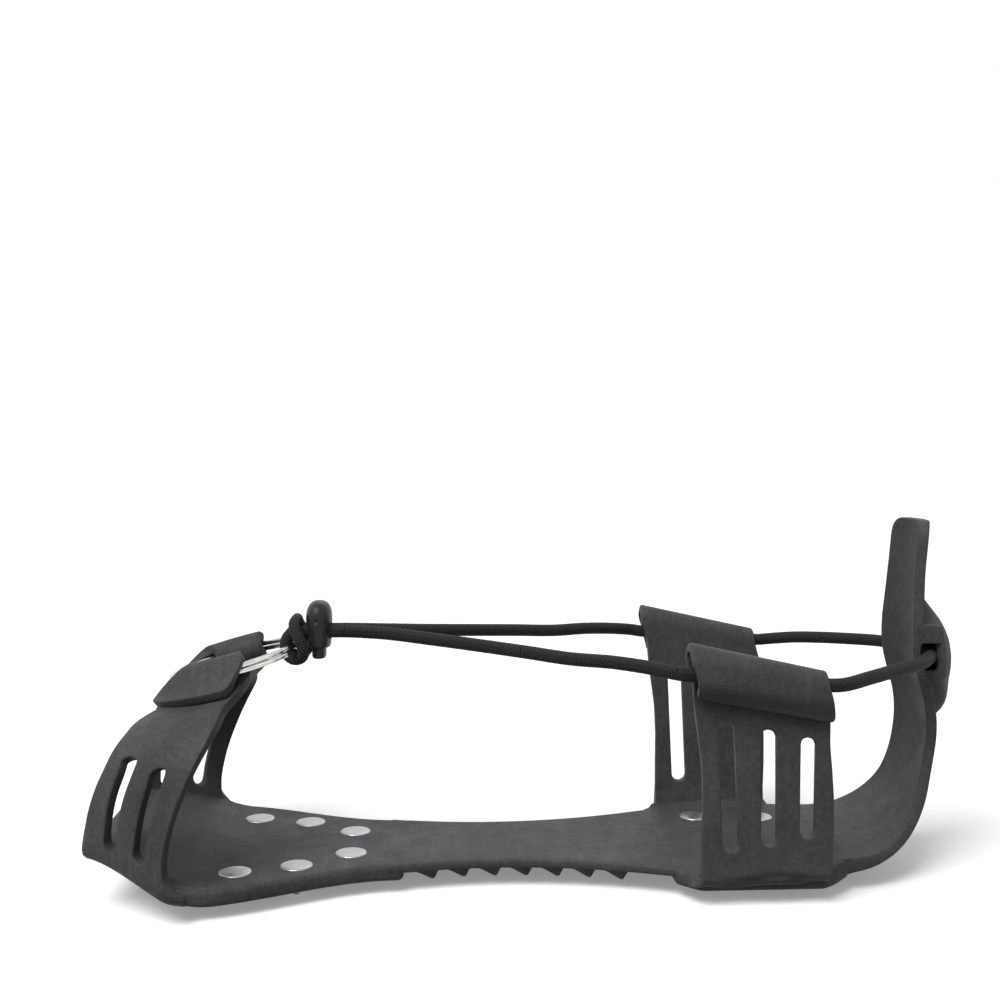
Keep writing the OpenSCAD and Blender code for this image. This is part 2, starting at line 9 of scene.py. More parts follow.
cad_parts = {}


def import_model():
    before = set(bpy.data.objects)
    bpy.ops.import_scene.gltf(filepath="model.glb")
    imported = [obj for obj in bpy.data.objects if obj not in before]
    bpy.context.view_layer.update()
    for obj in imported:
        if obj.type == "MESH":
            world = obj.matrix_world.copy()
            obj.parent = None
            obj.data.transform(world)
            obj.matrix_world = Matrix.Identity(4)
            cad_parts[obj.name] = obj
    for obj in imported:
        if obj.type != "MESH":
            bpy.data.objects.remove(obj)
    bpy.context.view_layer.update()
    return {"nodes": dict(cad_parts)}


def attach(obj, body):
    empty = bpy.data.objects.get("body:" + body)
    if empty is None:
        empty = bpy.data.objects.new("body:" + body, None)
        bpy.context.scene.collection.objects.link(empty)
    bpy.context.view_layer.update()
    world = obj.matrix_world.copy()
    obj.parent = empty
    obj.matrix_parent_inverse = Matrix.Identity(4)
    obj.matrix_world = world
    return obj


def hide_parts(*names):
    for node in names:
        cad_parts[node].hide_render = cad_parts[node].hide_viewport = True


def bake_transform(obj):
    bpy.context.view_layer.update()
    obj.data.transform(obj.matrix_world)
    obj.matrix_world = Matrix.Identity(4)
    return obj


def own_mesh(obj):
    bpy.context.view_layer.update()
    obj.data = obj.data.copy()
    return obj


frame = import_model()

MM = 0.001
SIDES = ("left", "right")

# Tread: forefoot plate, arch bridge and heel plate
STUD_REACH, PLATE_T, BRIDGE_T = 4.0, 5.0, 2.8
TOP_Z = STUD_REACH + PLATE_T
MID_Z = STUD_REACH + PLATE_T / 2
PLATE_EDGE_R, PLATE_GRID, PLATE_SPARE_W = 1.5, 1.5, 3.0
BEAD_H, BEAD_IN, BEAD_W = 0.4, 4.2, 1.1
COLLAR_H, COLLAR_R, COLLAR_SLOPE = 0.7, 4.4, 1.8
TOE_X, TOE_HALF_W = -137.0, 28.0
BALL_X, BALL_HALF_W = -110.0, 45.0
FORE_REAR_X, FORE_REAR_HALF_W = -46.0, 24.0
TOE_RISE_X, TOE_RISE = -98.0, 10.4
WAIST_X, WAIST_HALF_W = -14.0, 20.0
HEEL_FRONT_X, HEEL_REAR_X = 43.0, 93.0
HEEL_HALF_W, HEEL_CORNER_HALF_W, HEEL_ROOT_HALF_W = 38.0, 35.4, 31.0
HEEL_RISE, HEEL_RISE_X, HEEL_RISE_LENGTH = 1.6, 85, 12
BRIDGE_HEEL_HALF_W, BRIDGE_EDGE_R = 32.0, 0.9
BRIDGE_LAP, BRIDGE_SINK, BRIDGE_SINK_LENGTH = 2, 0.06, 3
TOOTH_H, TOOTH_PITCH, TOOTH_COUNT, LAST_TOOTH_X = 3.2, 9.8, 7, HEEL_FRONT_X - 18
TOOTH_FRONT, TOOTH_TIP, TOOTH_REAR = 6.4, 0.5, 1.6

# Studs: places in plan for one side, and the turned profile as (radius, height)
FORE_STUDS = ((-94, 27), (-76, 22), (-60, 11))
HEEL_STUDS = ((57, 22), (79, 20))
STUD_PROFILE = (
    (1.32, 1.75), (1.9, 1.62), (2.35, 1.75), (2.62, 2.1), (2.62, 3.1), (2.8, 3.3), (2.8, 7.8), (4.9, 7.8),
    (5.0, 8.0), (5.0, TOP_Z), (4.85, TOP_Z + 0.22), (4.4, TOP_Z + 0.34), (2.0, TOP_Z + 0.40),
    (0.05, TOP_Z + 0.42))

# All straps: thickness, and how they grow out of a plate
STRAP_T, STRAP_EDGE_R, FLAP_GAP, FLAP_DROP = 3.0, 0.5, 0.3, 10.5
ROOT_IN, ROOT_TAIL, ROOT_TAIL_T, ROOT_T = 11.0, 3, PLATE_T - 0.7, PLATE_T + 0.06
FLAP_CORNERS = 4

# Split ring
RING_R, WIRE_W, WIRE_H, TURN_GAP, WIRE_EDGE_R = 20.5, 2.2, 3.2, 0.3, 0.32
RING_WIRE_DEG, RING_STEP_DEG = (32, 703), (345, 392)
RING_TILT = math.radians(15)
RING_OUT = np.array([math.cos(RING_TILT), 0, math.sin(RING_TILT)])
RING_UP = np.array([-math.sin(RING_TILT), 0, math.cos(RING_TILT)])
RING_CENTRE = np.array([-76.2, 0, 74.5]) - (RING_R + WIRE_W / 2) * RING_OUT

# Front straps: width, length, the shares of the width that the sheet and the fold reach to, and the bends
FRONT_WIDTH, FRONT_LENGTH, FRONT_SHEET, FRONT_HELD = 33.0, 108.4, (-0.68, 1.42), (-0.06, 1.12)
FRONT_SLOPE = math.radians(22)
FRONT_FOLD_ANGLE, FRONT_FLAP_ANGLE, FRONT_FLARE = 98.0, 112.0, 7.0
FRONT_FOLD_HALF_W, FRONT_FLAP_HALF_W = 11.0, 13.0
FRONT_FOLD_R = math.hypot(WIRE_W, WIRE_H) / 2 + 0.5 + STRAP_T / 2
FRONT_REACH, FRONT_LEAD, FRONT_FLAP_END = 18.0, 17.0, FLAP_DROP + 4
FRONT_BOW, FRONT_TUCK, FRONT_LEAN = 4.0, 8.0, np.array([0.5, -2, 24])
FRONT_FOOT_BACK, FRONT_FOOT_TURN, FRONT_FOOT_IN = np.array([-28.0, -1.0]), np.array([1.0, -0.2]), 3.2
# Edges as (length along the strap, place across it), then the place at the strap's end
FRONT_REAR_EDGE = (
    (8, -25.5), (10, -23.0), (12, -20.4), (14, -18.0), (16, -16.6), (20, -15.9), (40, -15.7),
    (54, -14.6), (64, -13.8), (74, -13.3), (84, -13.2), (88, -12.2), (92, -11.8), (95, -13.0), (97.5, -15.0),
    (100, -14.5), (102.5, -13.3), (105, -13.0)), -13.4
FRONT_FRONT_EDGE = (
    (0, 14), (6, 15.2), (10, 16.4), (14, 16.0), (18, 15.8), (22, 15.5), (26, 15.0), (30, 14.6), (34, 14.4),
    (38, 14.4), (46, 14.3), (50, 14.2), (54, 14.2), (58, 14.4), (62, 14.6), (66, 15.0), (71, 15.3),
    (77, 13.8), (83, 11.2), (88, 10.3), (91, 10.7), (94, 13.0), (97.5, 17.6), (100, 21.6), (103, 25.6)), 28.0
# Slots: from and to along the strap, from and to across it, half width, bend of the upper end
FRONT_SLOTS = (((16.8, 46.0), (-7.2, -6.7), 2.25, 2.5), ((14.8, 49.2), (4.7, 5.2), 2.45, 1.8))

# Rear straps: pairs are values at the front and at the rear of the strap
CORD_D = 4.4
REAR_WIDTH, REAR_SHEET, REAR_HELD = 40.0, (-0.3, 1.2), (-0.08, 1.05)
REAR_FOLD_R, REAR_FOLD_TAPER = CORD_D / 2 + 0.3 + STRAP_T / 2, 0.6
REAR_ROOT_X, REAR_FOLD_X, REAR_FOLD_Z = (46.5, 86.5), (42.0, 84.0), (75.3, 67.15)
REAR_MID_Y = -(HEEL_HALF_W + STRAP_T / 2)
REAR_BEND_Z, REAR_UNDER, REAR_NECK_FLARE = 14.5, FLAP_DROP - 2, 0.3
REAR_FLAP_DROP, REAR_FLAP_OFF, REAR_TUNNEL, REAR_FLAP_HALF_T = 11.0, 3.7, (6.0, 3.6), (1.35, 0.9)
REAR_CURL, REAR_CURL_W, REAR_SWEEP = 4.0, 0.16, 4.0
CORD_Y = REAR_MID_Y - REAR_FOLD_R
REAR_LEAD_EDGE = (
    (16, -20.1), (27, -19.8), (36, -19.5), (45, -19.7), (52, -20.5), (58, -21.3), (64, -21.8), (72, -21.2),
    (80, -20.6), (90, -20.6)), -21.6
REAR_TRAIL_EDGE = (
    (8, 19.8), (12, 19.3), (18, 19.3), (27, 19.7), (38, 19.8), (47, 19.4), (55, 18.8), (62, 18.9), (70, 18.8),
    (78, 18.4), (84, 18.2), (90, 18.9)), 19.5
# Slots: lower and upper end as shares of the rise, place across, lean, half width
REAR_SLOTS = (
    (0.049, 0.840, -11.5, -0.8, 2.5), (0.084, 0.816, 0.1, 0.3, 2.4), (0.138, 0.804, 11.7, 0.6, 2.35))
# The lip at the foot: heights of its underside and of the crease above it, as (share of the width, height)
LIP_UNDER = (
    (-0.1, 6.0), (-0.02, 4.85), (0.08, 4.5), (0.18, 4.7), (0.33, 5.45), (0.46, 5.9), (0.63, 6.05),
    (0.85, 5.8), (0.93, 5.7), (1.0, 5.9))
LIP_CREASE = (
    (0.0, 5.6), (0.04, 5.8), (0.24, 6.9), (0.33, 7.7), (0.50, 8.7), (0.63, 8.8), (0.72, 8.3), (0.83, 7.2),
    (0.89, 6.8), (0.97, 7.0))
LIP_HALF_T, LIP_SPAN, LIP_OUT, LIP_EDGE, LIP_LENGTH = 2.2, 7, 1.15, 0.8, 30
CREASE_DEPTH, CREASE_UP, CREASE_W = 1.0, 0.9, 0.6

# Heel strap, its cord loop and its pull tab
HEEL_STRAP_T, TAB_T, TAB_TOP_T, TAB_CORNER_R = 3.4, 3.2, 3.4, 6.5
LOOP_WALL, LOOP_FRAME_T, HEEL_WRAP, HEEL_WRAP_H = 2.2, 1.6, 3.2, 30
HEEL_NOMINAL_HALF_W, HEEL_LOOP_HALF_W, TAB_HALF_W = 17.0, 15.0, 12.6
HEEL_TAPER_H, TAB_TAPER_Z, TAB_TAPER_H = 32, 76, 26
HEEL_NECK = (121.4, 70.0)
RECESS_Z, RECESS_DEPTH, RECESS_SLOPE = (64.0, 75.0), 0.9, 2.5
# Side view, as (x, z): the heel strap's edge, and the middle of the loop's wall at its ends and at its middle
HEEL_EDGE = (
    (94.0, 8.1), (98.0, 8.4), (101.8, 8.95), (105.4, 9.9), (108.8, 11.35), (112.2, 13.4), (115.3, 15.9),
    (118.2, 19.2), (120.6, 22.9), (122.4, 26.9), (124.0, 33.0), (125.2, 39.0), (125.95, 45.0), (126.0, 50.0),
    (125.3, 55.5), (124.0, 60.5), (122.5, 65.5), (121.5, 70.0), (121.2, 76.0), (121.5, 83.0), (121.9, 90.0),
    (122.3, 97.0), (122.9, 104.0), (123.4, 110.0), (123.5, 114.4))
LOOP_END = (
    (121.5, 79.4), (124.0, 79.3), (127.2, 79.2), (128.2, 78.8), (128.7, 77.9), (129.1, 75.0), (129.4, 70.0),
    (129.4, 66.6), (129.1, 65.4), (128.3, 64.7), (126.5, 64.4), (123.0, 64.1))
LOOP_DOME = (
    (124.6, 90.4), (126.0, 88.9), (128.0, 87.0), (130.3, 84.0), (133.0, 80.6), (135.0, 77.0), (136.4, 73.2),
    (137.1, 68.6), (137.0, 64.4), (136.3, 61.0), (136.0, 57.0), (135.6, 54.0), (134.4, 51.6), (132.0, 49.4),
    (129.2, 47.8))
# The loop's end frame and its mouth: corners and how far each is rounded
LOOP_FRAME = (
    ((120.3, 81.6), (124.4, 81.0), (128.6, 80.7), (129.5, 78.8), (130.3, 74.5), (130.8, 66.4), (130.6, 63.7),
     (126.4, 62.9), (122.6, 62.2), (120.3, 70.0)), (0.3, 0, 1.0, 0.5, 0, 0, 0.9, 0, 0.3, 0))
LOOP_MOUTH = (
    ((122.7, 74.9), (128.6, 74.9), (128.7, 68.2), (127.6, 66.4), (123.9, 66.2), (122.6, 67.3), (122.2, 69.8),
     (122.2, 73.6)), (0.5, 0.5, 0.5, 0.5, 0.5, 0.4, 0, 0.4))

# Cord lock: body, cord passage, plunger with its stub, spring
STRAND_Y, STRAND_Z, LOCK_X = CORD_D / 2 + 0.15, 78.6, -70.6
LOCK_LOW, LOCK_H, LOCK_HALF_D = STRAND_Z - CORD_D / 2 - 3, 15.0, 4.0
LOCK_HALF_W, LOCK_WIDEST, LOCK_TAPER = 2 * STRAND_Y + 0.3 + 2, 0.6, 0.12
LOCK_ROUNDNESS, BORE_ROUNDNESS, LOCK_DOME = 2.15, 3.0, 2.5
LOCK_FIT, SHARP_OVER = 0.08, math.radians(38)
PASSAGE_HALF_W, PASSAGE_HALF_H, PASSAGE_LENGTH = STRAND_Y + CORD_D / 2 + 0.15, CORD_D / 2 + 0.3, 12
PLUNGER_HALF_D, PLUNGER_HALF_W = LOCK_HALF_D - 1.3, PASSAGE_HALF_W + 0.9
PLUNGER_TOP, PRESS_TRAVEL = STRAND_Z + CORD_D / 2 + 1.8, 2.2
SPRING_WIRE, SPRING_TURNS, SPRING_R, SPRING_TOP, SPRING_START = 0.6, 3, 2.1, LOCK_LOW + LOCK_H - 1.2, 10
STUB_HALF_W, STUB_HALF_D, STUB_TOP, STUB_LOW = 4.4, 2.25, LOCK_LOW + 1.5, LOCK_LOW - 3.6
DIMPLE_PROFILE = ((0.1, 0.6), (0.95, 0.0), (1.1, -1.0))

# Meshing: steps round a rim and round a hole, how many points are measured at once, corners taken as straight
RIM_STEP, HOLE_STEP = 0.9, 0.55
BATCH = 2000
STRAIGHT_HALF_ANGLE = 1.55


# Points of straight lines and curves
def lerp(a, b, u):
    return a + (b - a) * u


def ease(u):
    u = np.clip(u, 0, 1)
    return u * u * (3 - 2 * u)


def bezier(a, b, c, d, u):
    return (1 - u) ** 3 * a + 3 * u * (1 - u) ** 2 * b + 3 * u * u * (1 - u) * c + u ** 3 * d


def unit(v):
    return v / np.maximum(np.linalg.norm(v, axis=-1, keepdims=True), 1e-12)


def point(*values):
    """Point or array of points from three numbers or arrays."""
    return np.stack(np.broadcast_arrays(*[np.asarray(v, float) for v in values]), -1)


def full_turn(sides):
    return np.linspace(0, 2 * math.pi, sides, endpoint=False)


def through(x, pairs):
    """Value at x on straight lines through (place, value) pairs."""
    return np.interp(x, *zip(*pairs))


def lengths_of(points):
    """Length along a line at each of its points, from 0."""
    return np.concatenate([[0], np.cumsum(np.linalg.norm(np.diff(points, axis=0), axis=1))])


def even_line(points, count, to_end=True):
    """Points at even lengths along a bent line in a plane."""
    p = np.array(points, float)
    length = lengths_of(p)
    place = np.linspace(0, length[-1], count, endpoint=to_end)
    return np.stack([np.interp(place, length, p[:, k]) for k in range(2)], 1)


def resample(loop, spacing):
    """Closed loop with even spacing."""
    closed = np.vstack([loop, loop[:1]])
    count = max(int(lengths_of(closed)[-1] / spacing), 8)
    return even_line(closed, count, to_end=False)


def between(s, s0, s1, p, q):
    """Point at s on the straight line that is at p for s0 and at q for s1."""
    return (s1 - s) / (s1 - s0) * p + (s - s0) / (s1 - s0) * q


def smooth_line(points, spacing=0.7):
    """Dense smooth line through points (a centripetal Catmull-Rom curve)."""
    p = np.array(points, float)
    p = np.vstack([2 * p[0] - p[1], p, 2 * p[-1] - p[-2]])
    line = []
    for i in range(1, len(p) - 2):
        near = p[i - 1:i + 3]
        t = np.cumsum([0] + [max(np.linalg.norm(step), 1e-6) ** 0.5 for step in np.diff(near, axis=0)])
        n = max(int(np.linalg.norm(near[2] - near[1]) / spacing), 2)
        for s in np.linspace(t[1], t[2], n, endpoint=False):
            a1, a2, a3 = (between(s, t[k], t[k + 1], near[k], near[k + 1]) for k in range(3))
            b1, b2 = between(s, t[0], t[2], a1, a2), between(s, t[1], t[3], a2, a3)
            line.append(between(s, t[1], t[2], b1, b2))
    line.append(p[-2])
    return np.array(line)


def tread_z(x):
    return STUD_REACH + TOE_RISE * ease((TOE_RISE_X - x) / (TOE_RISE_X - TOE_X))


# Loops in a plane
def area_of(loop):
    x, y = loop[:, 0], loop[:, 1]
    return 0.5 * np.sum(x * np.roll(y, -1) - y * np.roll(x, -1))


def round_corners(corners, radii, steps=7):
    """Closed polygon whose corners are rounded, each by its own radius."""
    n, loop = len(corners), []
    corners = np.array(corners, float)
    for i, r in enumerate(radii):
        p, a, b = corners[i], corners[i - 1], corners[(i + 1) % n]
        u, v = unit(a - p), unit(b - p)
        half = math.acos(np.clip(u @ v, -1, 1)) / 2
        if r <= 0 or half > STRAIGHT_HALF_ANGLE:
            loop.append(p)
            continue
        back = r / math.tan(half)
        start, end = p + u * back, p + v * back
        for k in range(steps + 1):
            w = k / steps
            loop.append((1 - w) ** 2 * start + 2 * w * (1 - w) * p + w * w * end)
    return np.array(loop)


def slot_loop(along, across, half_w, bend=0.0):
    """Slot with round ends between two places on a sheet; bend carries its upper end across."""
    t = np.linspace(0, 1, 41)
    line = np.column_stack([along[0] + half_w + (along[1] - along[0] - 2 * half_w) * t,
                            across[0] + (across[1] - across[0]) * t + bend * t ** 3])
    ahead = np.gradient(line, axis=0)
    ahead /= np.linalg.norm(ahead, axis=1)[:, None]
    side = np.column_stack([-ahead[:, 1], ahead[:, 0]])
    angles = np.linspace(0, math.pi, 13)
    top = [line[-1] + half_w * (side[-1] * math.cos(a) + ahead[-1] * math.sin(a)) for a in angles]
    low = [line[0] - half_w * (side[0] * math.cos(a) + ahead[0] * math.sin(a)) for a in angles]
    rows = list(line + half_w * side)[1:-1] + top + list(line - half_w * side)[-2:0:-1] + low
    return resample(np.array(rows), HOLE_STEP)


def inside(points, loop):
    x, y = points[:, 0], points[:, 1]
    result = np.zeros(len(points), bool)
    for (x0, y0), (x1, y1) in zip(loop, np.roll(loop, -1, axis=0)):
        if y0 != y1:
            result ^= ((y0 > y) != (y1 > y)) & (x < (x1 - x0) * (y - y0) / (y1 - y0) + x0)
    return result


def nearest(points, others):
    """How far each point lies from the nearest of the others."""
    gap = np.empty(len(points))
    for k in range(0, len(points), BATCH):
        part = points[k:k + BATCH]
        gap[k:k + BATCH] = np.linalg.norm(part[:, None] - others[None], axis=2).min(1)
    return gap


def mirrored(section):
    """Points (y, z) of a cross-section on its other side."""
    return [(-y, z) for y, z in section]


# Meshes
def make_mesh(name, points, faces, mirror=False, uv=None):
    """Smooth mesh object from points in millimetres; mirror puts it on the right side."""
    points = np.array(points, float) * MM
    if mirror:
        points[:, 1] *= -1
        faces = [tuple(reversed(f)) for f in faces]
    mesh = bpy.data.meshes.new(name)
    mesh.from_pydata([tuple(p) for p in points], [], [tuple(int(i) for i in f) for f in faces])
    if uv is not None:
        layer = mesh.uv_layers.new(name="along")
        for loop in mesh.loops:
            layer.data[loop.index].uv = uv[loop.vertex_index]
    mesh.validate()
    mesh.shade_smooth()
    obj = bpy.data.objects.new(name, mesh)
    bpy.context.scene.collection.objects.link(obj)
    return obj


class Sheet:
    """Middle surface of a strap through rows of points. Its places are (along, across):
    along is the length in millimetres on the middle column, across is as given for the columns."""

    STEP = 0.6
    LAST_CELL = 1.001

    def __init__(self, rows, across, soften):
        rows = np.array(rows, float)
        self.across = np.array(across, float)
        self.stations = lengths_of(rows[:, len(across) // 2])
        self.along = np.arange(0, self.stations[-1] + self.STEP / 2, self.STEP)
        grid = np.stack([[np.interp(self.along, self.stations, rows[:, j, k]) for k in range(3)]
                         for j in range(rows.shape[1])]).transpose(2, 0, 1)
        self.grid = self._soft(grid, soften / self.STEP)
        d_along = np.gradient(self.grid, self.STEP, axis=0)
        d_across = np.gradient(self.grid, self.across, axis=1)
        self.normal = unit(np.cross(d_along, d_across))

    @staticmethod
    def _soft(grid, sigma):
        """Rounds the corners along the rows; both ends stay where they are."""
        reach = int(4 * sigma) + 1
        kernel = np.exp(-0.5 * (np.arange(-reach, reach + 1) / sigma) ** 2)
        kernel /= kernel.sum()
        head = 2 * grid[:1] - grid[reach:0:-1]
        tail = 2 * grid[-1:] - grid[-2:-reach - 2:-1]
        padded = np.concatenate([head, grid, tail])
        return sum(k * padded[i:i + len(grid)] for i, k in enumerate(kernel))

    def at(self, q):
        """Points and unit normals at places q, an array of (along, across)."""
        a = np.clip(q[:, 0] / self.STEP, 0, len(self.along) - self.LAST_CELL)
        b = np.interp(q[:, 1], self.across, np.arange(len(self.across)))
        b = np.clip(b, 0, len(self.across) - self.LAST_CELL)
        i, j = a.astype(int), b.astype(int)
        u, v = (a - i)[:, None], (b - j)[:, None]

        def mix(g):
            return ((1 - u) * (1 - v) * g[i, j] + u * (1 - v) * g[i + 1, j]
                    + (1 - u) * v * g[i, j + 1] + u * v * g[i + 1, j + 1])
        return mix(self.grid), unit(mix(self.normal))


def even_sides(thickness):
    """Faces of a skin that has the same thickness all over."""
    return lambda q: [np.full(len(q), thickness / 2)] * 2


def skin(name, sheet, outline, holes, sides, edge, spacing, mirror=False):
    """Closed rubber skin on a sheet: an outline with holes and round edges. For places on the sheet, sides
    gives how far the skin's two faces lie from it: along its normal and against it."""
    loops = [resample(outline, RIM_STEP)] + [resample(h, HOLE_STEP) for h in holes]
    loops = [l if (area_of(l) > 0) == (k == 0) else l[::-1] for k, l in enumerate(loops)]
    inner, rings, start = [], [], 0
    for loop in loops:
        n = len(loop)
        tangent = unit(np.roll(loop, -1, axis=0) - np.roll(loop, 1, axis=0))
        inner.append(loop + edge * np.stack([-tangent[:, 1], tangent[:, 0]], 1))
        rings.append([(start + i, start + (i + 1) % n) for i in range(n)])
        start += n
    low, high = loops[0].min(0), loops[0].max(0)
    rows = np.arange(low[0], high[0], spacing * 0.866)
    field = np.array([(r, c + (i % 2) * spacing / 2) for i, r in enumerate(rows)
                      for c in np.arange(low[1], high[1], spacing)])
    keep = inside(field, inner[0])
    for k, loop in enumerate(inner):
        if k:
            keep &= ~inside(field, loop)
        keep &= nearest(field, loop) > spacing * 0.6
    rim, outer = np.vstack(inner), np.vstack(loops)
    flat = np.vstack([rim, field[keep]])
    edges = [pair for ring in rings for pair in ring]
    found = geometry.delaunay_2d_cdt([Vector(p) for p in flat], edges, [], 1, 1e-7)
    back = [o[0] for o in found[3]]
    triangles = np.array([[back[i] for i in f] for f in found[2]])
    centres = flat[triangles].mean(1)
    solid = np.ones(len(triangles), bool)
    for loop in inner[1:]:
        solid &= ~inside(centres, loop)
    triangles = triangles[solid]

    def layer(q, side, drop=0.0):
        p, n = sheet.at(q)
        return p + n * ((1 - 2 * side) * (sides(q)[side] - drop))[:, None]
    size, total = len(flat), 2 * len(flat)
    points, levels = [layer(flat, 0), layer(flat, 1)], [0]
    angles = np.radians([22.5, 45, 67.5, 90])
    for side, turn in ((0, angles), (1, angles[::-1])):
        for a in turn:
            points.append(layer(rim + (outer - rim) * math.sin(a), side, edge * (1 - math.cos(a))))
            levels.append(total)
            total += len(rim)
    levels.append(size)
    faces = [tuple(f) for f in triangles] + [tuple(size + i for i in reversed(f)) for f in triangles]
    for ring in rings:
        for a, b in zip(levels, levels[1:]):
            faces += [(a + q, a + p, b + p, b + q) for p, q in ring]
    return make_mesh(name, np.vstack(points), faces, mirror)


def strip_faces(rows, sides, base=0):
    """Faces over rows of points that each go once round, with a cap at both ends."""
    faces = []
    for i in range(rows - 1):
        for k in range(sides):
            a, b = base + i * sides + k, base + i * sides + (k + 1) % sides
            faces.append((a, b, b + sides, a + sides))
    last = base + (rows - 1) * sides
    return faces + [tuple(reversed(range(base, base + sides))), tuple(range(last, last + sides))]


def tube(name, line, radius, first=0, last=None, sides=20, mirror=False):
    """Round tube along part of a dense line; its uv runs round the tube and, in millimetres, along the line.
    The radius is one number, or one for each point of the line."""
    line = np.array(line, float)
    last = len(line) - 1 if last is None else last
    tangent = unit(np.gradient(line, axis=0))
    side = np.zeros_like(line)
    v = np.cross(tangent[0], (0, 0, 1) if abs(tangent[0][2]) < 0.9 else (1, 0, 0))
    for i, t in enumerate(tangent):
        v = unit(v - (v @ t) * t)
        side[i] = v
    up = np.cross(tangent, side)
    length = lengths_of(line)
    angles = full_turn(sides)
    ring = np.cos(angles)[None, :, None] * side[:, None] + np.sin(angles)[None, :, None] * up[:, None]
    thick = np.broadcast_to(radius, len(line))[:, None, None]
    points = (line[:, None] + thick * ring)[first:last + 1].reshape(-1, 3)
    uv = [(k / sides, length[i]) for i in range(first, last + 1) for k in range(sides)]
    return make_mesh(name, points, strip_faces(last - first + 1, sides), mirror, uv)


def loft(name, rings):
    """Closed mesh over rings of equal point counts, first to last, capped."""
    rings = np.array(rings, float)
    return make_mesh(name, rings.reshape(-1, 3), strip_faces(*rings.shape[:2]))


def lathe(name, profile, places, sides=40):
    """Turned pieces at the given plan places, in one mesh; profile is (radius, height)."""
    points, faces = [], []
    for x, y in places:
        faces += strip_faces(len(profile), sides, len(points))
        for r, z in profile:
            points += [(x + r * math.cos(a), y + r * math.sin(a), z) for a in full_turn(sides)]
    return make_mesh(name, points, faces)


def cut(obj, tool):
    """Takes the tool's volume out of obj."""
    change = obj.modifiers.new("cut", "BOOLEAN")
    change.operation = "DIFFERENCE"
    change.solver = "EXACT"
    change.object = tool
    bpy.context.view_layer.update()
    mesh = bpy.data.meshes.new_from_object(obj.evaluated_get(bpy.context.evaluated_depsgraph_get()))
    obj.modifiers.clear()
    obj.data = mesh
    bpy.data.objects.remove(tool)


# Materials
BLACK, WHITE = (0, 0, 0), (1, 1, 1)
STREAK_TURN = (0.3, 0.5, 0.7)


def grey(level):
    return (level,) * 3


class Shading:
    """Nodes of a material or of the world, and the ways in which they are added here."""

    def __init__(self, owner):
        owner.use_nodes = True
        self.owner = owner
        self.nodes, self.links = owner.node_tree.nodes, owner.node_tree.links

    def feed(self, socket, value):
        """Sets a socket to a number, a vector or a colour, or links another node's output to it."""
        if isinstance(value, bpy.types.NodeSocket):
            self.links.new(value, socket)
        elif socket.type == "RGBA":
            socket.default_value = (*value, 1)
        else:
            socket.default_value = value

    def add(self, kind, **inputs):
        """New node with its inputs fed by name."""
        node = self.nodes.new("ShaderNode" + kind)
        for name, value in inputs.items():
            self.feed(node.inputs[name], value)
        return node

    def surface(self, inputs):
        """Feeds the surface shader's inputs by name."""
        for name, value in inputs.items():
            self.feed(self.nodes["Principled BSDF"].inputs[name], value)

    def noise(self, scale, detail=4.0, roughness=0.6, stretch=None):
        """Noise in the object's own metres; stretch scales its axes."""
        source = self.add("TexCoord").outputs["Object"]
        if stretch:
            source = self.add("Mapping", Scale=stretch, Rotation=STREAK_TURN, Vector=source).outputs["Vector"]
        texture = self.add("TexNoise", Scale=scale, Detail=detail, Roughness=roughness, Vector=source)
        return texture.outputs["Fac"]

    def ramp(self, value, *stops):
        """Colour for a value, between stops of (value, colour)."""
        node = self.add("ValToRGB", Fac=value)
        elements = node.color_ramp.elements
        for element, (place, colour) in zip(elements, (stops[0], stops[-1])):
            element.position = place
            element.color = (*colour, 1)
        for place, colour in stops[1:-1]:
            elements.new(place).color = (*colour, 1)
        return node.outputs["Color"]

    def calc(self, operation, *values):
        node = self.add("Math")
        node.operation = operation
        for socket, value in zip(node.inputs, values):
            self.feed(socket, value)
        return node.outputs["Value"]

    def mix(self, share, a, b, blend="MIX"):
        node = self.add("Mix")
        node.data_type = "RGBA"
        node.blend_type = blend
        for socket, value in zip([s for s in node.inputs if s.enabled], (share, a, b)):
            self.feed(socket, value)
        return [s for s in node.outputs if s.enabled][0]

    def bump(self, height, distance, strength, base=None):
        """Bumps on the surface, on top of the base bumps where these are given."""
        node = self.add("Bump", Strength=strength, Distance=distance, Height=height)
        if base is not None:
            self.feed(node.inputs["Normal"], base)
        self.surface({"Normal": node.outputs["Normal"]})
        return node.outputs["Normal"]


def new_shading(name):
    return Shading(bpy.data.materials.new(name))


